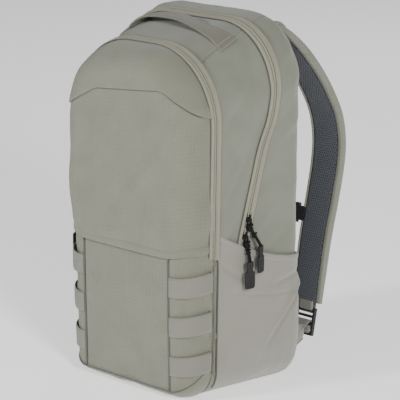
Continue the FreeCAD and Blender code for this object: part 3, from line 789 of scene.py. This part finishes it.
# Back wall: a cap like the front one, with its own rim
back_rows = []
t = np.linspace(-1, 1, 161)
for y, share in ((0.0893, 0), (0.0910, 0), (0.0918, 0), (0.0920, 0.02), (0.0920, 0.2),
                 (0.0920, 0.4), (0.0920, 0.6), (0.0920, 0.8), (0.0920, 1.0)):
    ring = Ring(np.full(161, min(y, 0.0919)))
    x, z = ring.point(np.abs(t) * ring.marks[4], t)
    middle = 0.12 + z * (0.24 / 0.46)
    back_rows.append(np.stack([x * (1 - share), np.full(161, y), mix(z, middle, share)], axis=1))
cloth("back_cloth", np.stack(back_rows), dark_cloth, -FORWARD, "pack", "back_fabric",
      ["back_wall"], roll=0.0002)


# Zips ----------------------------------------------------------------------------------------

def zip_track(y_of, low_z, count, grow):
    """Points along a zip, from its low end on the right over the top to the left."""
    b = np.linspace(0, 1, count)
    y = np.full(count, float(np.mean(y_of(np.array([0.3])))))
    for _ in range(14):
        ring = Ring(y, grow)
        start = ring.at_z(low_z)
        x, z = ring.point(mix(start, ring.marks[4], b))
        y = 0.5 * y + 0.5 * y_of(z)
    right = np.stack([x, y, z], axis=1)
    left = right[::-1][1:] * np.array([-1, 1, 1])
    return np.vstack([right, left])


def even(points, pitch):
    """The same line with its points a constant distance apart."""
    length = run_of(points)
    at = np.linspace(0, length[-1], int(round(length[-1] / pitch)) + 1)
    return np.stack([np.interp(at, length, points[:, k]) for k in range(3)], axis=1)


def tape(name, y_of, side, low_z, body, node):
    """One zip tape: a broad flat band, a groove, and the ridge that covers its half of the coil."""
    profile = [(0.0080, 0.0010), (0.0078, 0.0022), (0.0060, 0.0024), (0.0040, 0.0023),
               (0.0032, 0.0020), (0.0028, 0.0008), (0.0024, 0.0009), (0.0020, 0.0026),
               (0.0012, 0.0029), (0.0006, 0.0025), (0.0003, 0.0012)]
    lines = [zip_track(lambda z, o=side * o: y_of(z) + o, low_z, 190, p) for o, p in profile]
    grid = np.stack(lines, axis=1)
    cloth(name, grid, zip_cloth, UP, body, "zip_tape", [node], 0.0012, 0.0)


def teeth(name, y_of, low_z, body_front, body_rear):
    """The interlocked coil: small blocks taken in turn from each side of the zip's centre."""
    line = even(zip_track(y_of, low_z, 500, -0.0008), 0.00115)
    ahead = unit(np.gradient(line, axis=0))
    deep = unit(-FORWARD - ahead * ahead[:, 1:2])
    axes = np.stack([deep, ahead, np.cross(ahead, deep)], axis=1)
    for k, (body, shift) in enumerate(((body_front, -0.0009), (body_rear, 0.0009))):
        pick = slice(k, None, 2)
        centres = line[pick] + deep[pick] * shift
        piece = blocks(name + ("_front", "_rear")[k], centres, axes[pick],
                       (0.0031, 0.00105, 0.0016), coil)
        place(piece, body, "zip_tape")


def front_zip_y(z):
    return FRONT_ZIP_Y + 0 * z


def zip_cord(name, y_of, off, low_z, grow, pitch, radius, material, sides, body, slot):
    """A thin cord that runs beside a zip, off metres behind its centre: a welt of piping, and in the
    zip_shadow material a dark line of painted shade.
    """
    line = even(zip_track(lambda z: y_of(z) + off, low_z, 190, grow), pitch)
    place(pipe(name, line, radius, material, sides), body, slot)


GROOVE, WELT = 0.0026, 0.0084
# Name, depth, the bodies ahead and behind, heights of the tapes, cords and welts, welt radius
ZIPS = (("front_zip", front_zip_y, "front_flap", "main_lid", (0.1830, 0.1800), 0.184,
         (0.186, 0.182), 0.0007),
        ("main_zip", zip_y, "main_lid", "pack", (0.1750, 0.1740), 0.177, (0.178, 0.176), 0.0006))
for name, y_of, ahead, behind, (low_a, low_b), *_ in ZIPS:
    tape(name + "_tape_a", y_of, -1, low_a, ahead, name + "_front_tape")
    tape(name + "_tape_b", y_of, 1, low_b, behind, name + "_rear_tape")
    teeth(name + "_coil", y_of, low_a + 0.0005, ahead, behind)
# Dark lines in the zips' grooves and along their middles, in the zip_shadow material: painted shade.
for name, y_of, ahead, behind, _, low_z, *_ in ZIPS:
    for part, off, grow, body in (("groove_a", -GROOVE, 0.0012, ahead),
                                  ("groove_b", GROOVE, 0.0012, behind),
                                  ("middle", 0.0, 0.0021, ahead)):
        zip_cord(name + "_" + part, y_of, off, low_z, grow, 0.005, 0.0006, zip_shadow, 6,
                 body, "zip_tape")
for name, y_of, ahead, behind, _, _, (low_a, low_b), radius in ZIPS:
    for part, off, low_z, body in (("welt_a", -WELT, low_a, ahead), ("welt_b", WELT, low_b, behind)):
        zip_cord(name + "_" + part, y_of, off, low_z, 0.0014, 0.006, radius, piping, 8, body,
                 "side_fabric")


# Stretch side pockets ------------------------------------------------------------------------
POCKET_FRONT, POCKET_REAR = -0.0432, 0.0880
MOUTH_FRONT, MOUTH_REAR = 0.212, 0.166
POCKET_FLAT, POCKET_RUN = (0.145, 0.185), 0.131


def mouth_z(y):
    """Height of a side pocket's sagging mouth, steep at the front and level at the rear."""
    ahead = np.clip((POCKET_REAR - y) / (POCKET_REAR - POCKET_FRONT), 0, 1)
    return MOUTH_REAR + (MOUTH_FRONT - MOUTH_REAR) * ahead ** 1.8


def pocket_grid(start, cols, lift=0.0):
    """Points of the pocket from the share start of its height up to its mouth."""
    a, b = shares(100, cols)
    b = mix(start, 1, b)
    y = mix(POCKET_FRONT, POCKET_REAR, a)
    ring = Ring(y, 0.0008)
    foot = mix(ring.marks[0], ring.marks[1], 0.45)
    x, z = ring.point(mix(foot, ring.at_z(mouth_z(y)), b))
    full = ease(a / 0.45) ** 0.8 * (1 - 0.30 * ease((a - 0.72) / 0.26)) * ease((1 - a) / 0.04)
    bulge = 0.0085 * full * ease(b / 0.34) * mix(1.0, 0.52, ease((b - 0.60) / 0.40))
    s, t = a * POCKET_RUN, b * POCKET_FLAT[1]
    crease_at = 0.127 + 1.35 * (s - 0.124)
    rearward = ease((s - 0.066) / 0.030)
    for height, line, width, where in (
            (-0.0042, crease_at, 0.0050, rearward), (0.0026, crease_at + 0.010, 0.008, rearward),
            (-0.0020, 0.158 + 0.35 * (s - 0.124), 0.004, ease((s - 0.075) / 0.03)),
            (-0.0013, 0.148 - 0.32 * (s - 0.02), 0.005, ease((0.060 - s) / 0.03)),
            (-0.0008, 0.121 + 0.10 * s, 0.0022, full)):
        bulge = bulge + height * np.exp(-((t - line) / width) ** 2) * where
    inside = np.minimum(1, np.minimum(a, 1 - a) / 0.12) * np.minimum(1, b / 0.1)
    bulge = bulge + inside * 0.0008 * folds(s, t, 68, 0.017, 5.0, 131)
    grid = np.stack([x, y, z], axis=2)
    return push(grid, bulge + lift, RIGHT)


for side, sign in SIDES:
    flip = flip_to(sign)
    grid = pocket_grid(0.0, 120) * flip
    pocket = cloth("side_pocket_cloth_" + side, grid, stretch, RIGHT * flip, "pack",
                   "stretch_fabric", ["side_pocket_" + side], 0.0011, 0.0006)
    hem = cloth("pocket_hem_cloth_" + side, pocket_grid(0.955, 7, 0.0009) * flip, stretch,
                RIGHT * flip, "pack", "stretch_fabric", ["pocket_hem_" + side], 0.0016, 0.0010)
    edge = grid[0][4:]
    place(pipe("pocket_piping_" + side, edge[::4], 0.0013, piping), "pack", "side_fabric")
    seam = cap_grid(np.array([FRONT_SEAM_X, FRONT_SEAM_X + 0.001]), foot_z, hem_edge, 40,
                    0.0032)[0][3:-1] * flip
    place(pipe("front_seam_piping_" + side, seam, 0.0013, piping), "pack", "shell_ripstop")


# Piping round the foot of the front
foot_x = spread(FRONT_HALF - FOOT_TAPER + 0.0010, 120)
foot_line = foot_z(foot_x) + 0.0125
foot_line = np.stack([foot_x, cap_depth(foot_x, foot_line, 0.0014), foot_line], axis=1)
place(pipe("foot_piping", foot_line, 0.0011, piping), "pack", "shell_ripstop")

# Haul handle ---------------------------------------------------------------------------------
HANDLE_Y, HANDLE_HALF, HANDLE_REACH = 0.003, 0.072, 0.088


def top_surface(x, y):
    """Height of the body's top at x, y."""
    ring = Ring(y)
    over = np.clip(np.abs(x) - (ring.half - ring.crown), 0, None)
    return ring.top - ring.crown + np.sqrt(np.clip(ring.crown ** 2 - over ** 2, 0, None))


def handle_grid(rows, cols):
    x, w = shares(rows, cols, -1.0)
    x = x * HANDLE_REACH
    y = HANDLE_Y + 0.0138 * w
    share = np.clip(np.abs(x) / HANDLE_HALF, 0, 1)
    arch = 0.4636 - 0.0205 * np.where(x < 0, share ** 3.6, share ** 1.7)
    seat = top_surface(x, y) + 0.0026
    free = ease((0.0775 - np.abs(x)) / 0.010)
    z = mix(seat, np.maximum(arch, seat), free) - 0.0010 * w ** 2 * free
    return np.stack([x, y, z], axis=2)


cloth("haul_handle_webbing", handle_grid(120, 11), handle_cloth, UP, "main_lid", "webbing",
      ["haul_handle"], 0.0026, 0.0008)
HANDLE_SLOPE = math.atan2(0.55, 1.0)
STITCH_ROWS = (0.0795, 0.0855)
stitches, frames = [], []
for sign in (-1, 1):
    lean, rise = sign * math.sin(HANDLE_SLOPE), math.cos(HANDLE_SLOPE)
    for row_x in STITCH_ROWS:
        for y in np.linspace(-0.0095, 0.0155, 11):
            z = float(top_surface(np.array([row_x]), np.array([y]))[0]) + 0.0029
            stitches.append((sign * row_x, y, z))
            frames.append(((0, 1, 0), (rise, 0, -lean), (lean, 0, rise)))
place(blocks("handle_stitching", np.array(stitches), np.array(frames),
             (0.0018, 0.0006, 0.0005), thread_pale), "main_lid", "webbing")


# Sliders' pulls ------------------------------------------------------------------------------
TAB_HALF, TAB_THICK = 0.0075, 0.0034
PIVOT_OUT, PULL_BAR_HALF, CORD_WIDTH = 0.00325, 0.0035, 0.0022
KNOT, STOPPER = 0.0034, 0.0026


def tab_mesh(name, top, yaw):
    """A moulded tab: flared head, narrow neck and wide rounded body, with a raised rim."""
    outline = smooth_line([(0.0, 0.0), (0.56, -0.1), (0.66, -1.0), (0.66, -6.5), (0.54, -9.0),
                           (0.58, -11.6), (0.94, -13.6), (1.0, -16.5), (1.0, -27.5),
                           (0.95, -32.0), (0.72, -33.8), (0.0, -34.0)], 67)
    half = np.abs(outline[:, 0]) * TAB_HALF
    drop = outline[:, 1] * 0.001
    verts, faces = [], []
    ring = np.linspace(0, 2 * math.pi, 40, endpoint=False)
    for w, z in zip(half, drop):
        w = max(w, 0.0003)
        core = 0.72 if -0.031 < z < -0.016 else 1.0
        for a in ring:
            c, s = math.cos(a), math.sin(a)
            x = math.copysign(abs(c) ** 0.40, c) * w
            face = 0.76 if abs(c) < 0.5 and core < 1 else 1.0
            y = math.copysign(abs(s) ** 0.55, s) * TAB_THICK / 2 * face
            verts.append((y, x, z))
    k = len(ring)
    for i in range(len(half) - 1):
        for j in range(k):
            faces.append((i * k + j, i * k + (j + 1) % k, (i + 1) * k + (j + 1) % k,
                          (i + 1) * k + j))
    faces.append(tuple(range(k - 1, -1, -1)))
    faces.append(tuple((len(half) - 1) * k + j for j in range(k)))
    turn = math.radians(yaw)
    c, s = math.cos(turn), math.sin(turn)
    verts = [(top[0] + x * c - y * s, top[1] + x * s + y * c, top[2] + z) for x, y, z in verts]
    return link(name, verts, faces, rubber)


def curve_cord(name, points, diameter, material):
    """A round cord along a hand-made route."""
    data = bpy.data.curves.new(name, "CURVE")
    data.dimensions = "3D"
    data.bevel_depth = diameter / 2
    data.bevel_resolution = 3
    data.resolution_u = 10
    data.use_fill_caps = True
    spline = data.splines.new("NURBS")
    spline.points.add(len(points) - 1)
    for point, co in zip(spline.points, points):
        point.co = (co[0], co[1], co[2], 1.0)
    spline.order_u = 3
    spline.use_endpoint_u = True
    data.materials.append(material)
    piece = bpy.data.objects.new(name, data)
    bpy.context.scene.collection.objects.link(piece)
    return piece


def knot_mesh(name, centre, size):
    """A small overhand knot: a trefoil of thick cord, pulled tight."""
    t = np.linspace(0, 2 * math.pi, 61)
    x = np.sin(t) + 2 * np.sin(2 * t)
    y = np.cos(t) - 2 * np.cos(2 * t)
    z = -np.sin(3 * t)
    line = np.array(centre) + np.stack([z * 0.55, x * 0.42, y * 0.42], axis=1) * size
    return pipe(name, line, size * 0.5, cord_black, 10)


def slider_frame(line_y, z):
    """Where a slider sits on the right side, the way out from there, and the way across."""
    def at(y, height):
        ring = Ring(np.array([float(y)]))
        rise = (height - HEEL) / (ring.top[0] - ring.crown[0] - HEEL)
        return np.array([mix(ring.foot[0], ring.half[0], rise), y, height])
    seat = at(line_y(z), z)
    along = at(line_y(z + 0.040), z + 0.040) - seat
    out = unit(np.cross(at(line_y(z) + 0.010, z) - seat, along))
    up = unit(along - out * np.dot(along, out))
    return seat, out, np.cross(up, out)


def pull(name, z, line_y, knot_step, tab_step, yaw, sign):
    """A knotted loop of cord through a slider's bridge, and the tab on it."""
    flip = flip_to(sign)
    body = name + "_pull"
    seat, out, across = slider_frame(line_y, z)
    pivot = seat + out * PIVOT_OUT
    ends = [pivot - across * PULL_BAR_HALF, pivot + across * PULL_BAR_HALF]
    knot, top = seat + np.array(knot_step), seat + np.array(tab_step)
    side = across * 0.0014
    route = [top - side, mix(top, knot, 0.45) - side * 1.1, knot - side, mix(knot, ends[0], 0.55)
             - side * 0.6, ends[0] - across * 0.0004, ends[1] + across * 0.0004,
             mix(knot, ends[1], 0.55) + side * 0.6, knot + side,
             mix(top, knot, 0.45) + side * 1.1, top + side]
    route = [tuple(p * flip) for p in route]
    line = curve_cord(name + "_loop", route, CORD_WIDTH, cord_black)
    place(line, body, "pull_cord", name + "_cord")
    knob = knot_mesh(name + "_knot", knot * flip, KNOT)
    place(knob, body, "pull_cord")
    stop = knot_mesh(name + "_stopper", mix(knot, top, 0.42) * flip, STOPPER)
    place(stop, body, "pull_cord")
    tag = tab_mesh(name + "_grip", top * flip, yaw * sign)
    place(tag, body, "tab_rubber", name + "_tab")
    return line, [tag, knob, stop], route


PULLS = [
    ("main_upper", 0.226, zip_y, (0.0062, -0.0022, -0.0108), (0.0150, 0.0085, -0.0350), 15.0, 1),
    ("main_lower", 0.205, zip_y, (0.0076, -0.0024, -0.0105), (0.0150, -0.0050, -0.0310), -10.0, 1),
    ("front", 0.205, front_zip_y, (0.0066, -0.0005, -0.0105), (0.0115, -0.0050, -0.0190), 8.0, -1),
]
for name, z, line_y, knot_step, tab_step, yaw, sign in PULLS:
    line, others, route = pull(name, z, line_y, knot_step, tab_step, yaw, sign)


# Shoulder straps -----------------------------------------------------------------------------
STRAP_LINE = [
    (0.061, 0.098, 0.448, 0.005), (0.065, 0.112, 0.438, 0.009), (0.071, 0.137, 0.415, 0.012),
    (0.078, 0.159, 0.386, 0.012), (0.084, 0.176, 0.356, 0.012), (0.089, 0.189, 0.324, 0.012),
    (0.092, 0.193, 0.291, 0.012), (0.093, 0.190, 0.258, 0.012), (0.094, 0.179, 0.214, 0.012),
    (0.094, 0.167, 0.168, 0.012), (0.095, 0.157, 0.124, 0.011), (0.095, 0.1488, 0.080, 0.008),
]
STRAP_HALF = 0.025
strap_line = smooth_line(STRAP_LINE, 140)
strap_path, strap_thick = strap_line[:, :3], strap_line[:, 3]
strap_run = unit(np.gradient(strap_path, axis=0) * (0, 1, 1))
strap_out = np.stack([0 * strap_run[:, 0], -strap_run[:, 2], strap_run[:, 1]], axis=1)


def strap_strip(offsets, height, seed, wrinkle):
    """Points of a face of the strap: offsets across it, and height (share of half thickness)."""
    w = np.array(offsets)[None, :]
    tip = np.linspace(0, 1, len(strap_path))[:, None]
    narrow = mix(1.0, 0.94, ease((tip - 0.55) / 0.40)) * mix(0.9, 1.0, ease(tip / 0.12))
    across = w * STRAP_HALF * narrow
    raised = np.array(height)[None, :] * strap_thick[:, None] / 2
    soft = folds(np.linspace(0, 0.52, len(tip))[:, None] + 0 * w, across, 80, 0.013, 2.5, seed)
    raised = raised + np.sign(raised) * wrinkle * soft * (1 - np.abs(w) ** 4)
    return (strap_path[:, None] + across[..., None] * RIGHT
            + raised[..., None] * strap_out[:, None])


def strap_pieces(side, sign):
    flip = flip_to(sign)
    round_in = np.linspace(-math.pi / 2, math.pi / 2, 9)
    left = [(-0.93 - 0.07 * math.cos(a), -0.80 * -math.sin(a)) for a in round_in]
    top = [(o, 0.80 + 0.16 * (1 - (o / 0.93) ** 2)) for o in np.linspace(-0.90, 0.90, 15)]
    right = [(0.93 + 0.07 * math.cos(a), 0.80 * math.sin(a)) for a in round_in[::-1]]
    outline = left + top + right
    cover_grid = strap_strip([o for o, _ in outline], [h for _, h in outline], 151, 0.0005)
    cover = cloth("strap_cover_cloth_" + side, cover_grid * flip, strap_cloth, -FORWARD,
                  "strap_" + side, "strap_fabric", ["strap_cover_" + side], 0.0012, 0.0)
    middle, reach, t = -0.08, 0.80, np.linspace(-1, 1, 21)
    mesh_grid = strap_strip(middle + reach * t, -0.84 - 0.10 * (1 - t ** 2), 157, 0.0003)
    face = cloth("strap_mesh_" + side, mesh_grid * flip, air_mesh, FORWARD, "strap_" + side,
                 "air_mesh", thick=0.0012)
    for k, (low, high) in enumerate(((-1.0, middle - reach + 0.02), (middle + reach - 0.02, 1.0))):
        t = np.linspace(0, 1, 7)
        band = strap_strip(mix(low, high, t), -0.80 - 0.24 * np.sin(math.pi * t) ** 0.6, 163, 0.0)
        cloth("strap_binding_%s_%d" % (side, k), band * flip, strap_cloth, FORWARD,
              "strap_" + side, "strap_fabric", (), 0.0010, 0.0004)


for side, sign in SIDES:
    strap_pieces(side, sign)


def ribbon(name, centre, half, thick, material, body, slot, nodes=(), across=RIGHT):
    """Flat webbing whose middle follows centre, with its width along across."""
    line = smooth_line(centre, 40)
    w = np.linspace(-1, 1, 7)[None, :, None]
    grid = line[:, None] + w * half * np.array(across)
    outward = unit(np.cross(np.gradient(line, axis=0)[20], across))
    piece = patch(name, grid, material, outward, thick, 0.0003)
    if body:
        place(piece, body, slot, *nodes)
    return piece


LOCK_X = 0.095
for side, sign in SIDES:
    x = LOCK_X * sign
    ribbon("lock_loop_" + side, [(x, 0.1495, 0.092), (x, 0.1450, 0.078), (x, 0.1452, 0.068),
                                 (x, 0.1490, 0.0642), (x, 0.1525, 0.068), (x, 0.1530, 0.080),
                                 (x, 0.1515, 0.092)],
           0.0120, 0.0012, webbing, "strap_" + side, "webbing")
    band = ribbon("adjuster_band_" + side, [(x, 0.0935, 0.0395), (x, 0.106, 0.0415),
                                            (x, 0.122, 0.0465), (x, 0.136, 0.0535),
                                            (x, 0.1425, 0.0555), (x, 0.1475, 0.0535)],
                  0.0122, 0.0014, webbing, None, None)
    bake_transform(band)
    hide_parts("adjuster_webbing_" + side)
    ribbon("adjuster_fold_" + side, [(x, 0.1475, 0.0535), (x, 0.1420, 0.0505),
                                     (x, 0.1385, 0.0430), (x, 0.1400, 0.0375),
                                     (x, 0.1450, 0.0340)],
           0.0121, 0.0014, webbing, "lock_" + side, "webbing")

# Fabric wings that hold the adjusters, at the foot of the back
for side, sign in SIDES:
    a, b = shares(24, 24)
    high = mix(0.071, 0.0530, ease(a))
    low = mix(0.022, 0.0345, a)
    puffed = np.sin(np.pi * a) * np.sin(np.pi * b)
    x = 0.1085 - 0.0050 * a + 0.0040 * puffed
    y = mix(0.0885, 0.1340, a) - 0.0040 * (2 * b - 1) ** 2 * a
    grid = np.stack([x * sign, y, mix(low, high, b)], axis=2)
    cloth("strap_wing_cloth_" + side, grid, strap_cloth, RIGHT * sign, "pack", "side_fabric",
          ["strap_wing_" + side], 0.0030, 0.0010)
    for k, edge in enumerate((grid[:, 0], grid[:, -1])):
        place(pipe("wing_binding_%s_%d" % (side, k), edge, 0.0013, webbing), "pack", "webbing")

# Back ----------------------------------------------------------------------------------------
back_low, back_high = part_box("back_pad_foam")
PAD_INNER, PAD_OUTER, PAD_DEPTH = 0.014, 0.091, 0.0125
CHANNEL_PITCH, CHANNEL_WIDTH = 0.062, 0.0042


def back_pad_grid(x0, x1, z0, z1):
    """A padded back section: crowned, with sewn channels across it and rounded corners."""
    a, b = shares(70, 110, -1.0)
    rx = a * np.sqrt(1 - 0.5 * b ** 8)
    rz = b * np.sqrt(1 - 0.06 * a ** 8)
    x, z = mix(x0, x1, (rx + 1) / 2), mix(z0, z1, (rz + 1) / 2)
    puff = (1 - np.abs(a) ** 6) * (1 - np.abs(b) ** 22)
    across = (np.mod(z - z0, CHANNEL_PITCH) - CHANNEL_PITCH / 2) / CHANNEL_WIDTH
    raised = PAD_DEPTH * (1 - 0.42 * np.exp(-across ** 2))
    y = BACK_Y + 0.0004 + puff * (raised + 0.0004 * folds(x, z, 5, 0.014, 3.0, 201))
    return np.stack([x, y, z], axis=2)


for side, sign in SIDES:
    grid = back_pad_grid(*sorted((sign * PAD_INNER, sign * PAD_OUTER)), back_low[2] + 0.001,
                         back_high[2] - 0.001)
    nodes = ("back_pad_foam", "back_pad_mesh") if sign > 0 else ()
    pad = cloth("back_pad_" + side, grid, air_mesh, -FORWARD, "pack", "air_mesh", nodes,
                0.0015, 0.0002)
yoke_line = [(x, 0.0932, 0.4475 - 3.2 * x * x) for x in np.linspace(-0.082, 0.082, 15)]
ribbon("strap_yoke_cloth", yoke_line, 0.0135, 0.0018, strap_cloth, "pack", "back_fabric",
       ("strap_yoke",), across=UP)
for side, sign in SIDES:
    x = 0.060 * sign
    root = ribbon("strap_root_" + side, [(x, 0.0938, 0.436), (x, 0.0945, 0.444),
                                         (x, 0.0985, 0.4495), (x * 1.05, 0.107, 0.4430)],
                  0.0245, 0.0030, strap_cloth, None, None)
    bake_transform(root)

# Materials for the pieces that keep their CAD shape
CARRIED = [
    (("main_upper_slider", "main_lower_slider", "front_slider"), slider_black),
    (("ladder_lock_right", "ladder_lock_left", "sternum_carriage_right",
      "sternum_carriage_left", "sternum_buckle_socket", "sternum_buckle_plug"), black_plastic),
    (("frame_sheet",), sheet_plastic),
    (("front_divider", "laptop_sleeve_wall"), lining),
    (("strap_foam_right", "strap_foam_left"), foam_grey),
    (("sternum_webbing_right", "sternum_webbing_left"), thread_dark),
]
for nodes, material in CARRIED:
    for node in nodes:
        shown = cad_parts[node]
        shown.data.materials.clear()
        shown.data.materials.append(material)

# Camera, lights and floor --------------------------------------------------------------------
EYE = Vector((1.674, -1.774, 0.8665))
AIM = Vector((0.0771, -0.0382, 0.2482))
camera_data = bpy.data.cameras.new("camera")
camera_data.lens = 179.6
camera_data.sensor_width = 36.0
camera_data.clip_end = 50.0
camera = bpy.data.objects.new("camera", camera_data)
camera.location = EYE
camera.rotation_euler = (AIM - EYE).to_track_quat("-Z", "Y").to_euler()
bpy.context.scene.collection.objects.link(camera)
bpy.context.scene.camera = camera

floor_mesh = bpy.data.meshes.new("floor")
floor_mesh.from_pydata([(-6, -6, -0.0005), (6, -6, -0.0005), (6, 6, -0.0005), (-6, 6, -0.0005)],
                       [], [(0, 1, 2, 3)])
floor = bpy.data.objects.new("floor", floor_mesh)
bpy.context.scene.collection.objects.link(floor)
floor_look = Graph("floor_pale", 0.85)
floor_vector, _, _ = floor_look.coords(False)
floor_look.colour((0.97, 0.97, 0.97), floor_look.noise(floor_vector, 3.0), 0.99, 1.01)
floor_look.shader.inputs["Emission Color"].default_value = (1.0, 1.0, 1.0, 1.0)
floor_look.shader.inputs["Emission Strength"].default_value = 0.62
floor_mesh.materials.append(floor_look.material)


def area_light(name, place_at, size, power):
    data = bpy.data.lights.new(name, "AREA")
    data.size, data.energy = size, power
    light = bpy.data.objects.new(name, data)
    light.location = place_at
    light.rotation_euler = (Vector((0, 0, 0.2)) - light.location).to_track_quat(
        "-Z", "Y").to_euler()
    bpy.context.scene.collection.objects.link(light)


area_light("key", (2.4, -1.2, 1.3), 0.5, 80.0)
area_light("fill", (-1.0, -2.7, 1.4), 0.5, 62.0)
area_light("rear", (-0.8, 2.4, 1.8), 1.4, 12.0)
world = bpy.data.worlds.new("studio")
world.use_nodes = True
world.node_tree.nodes["Background"].inputs[0].default_value = (1.0, 1.0, 1.0, 1.0)
world.node_tree.nodes["Background"].inputs[1].default_value = 0.19
bpy.context.scene.world = world
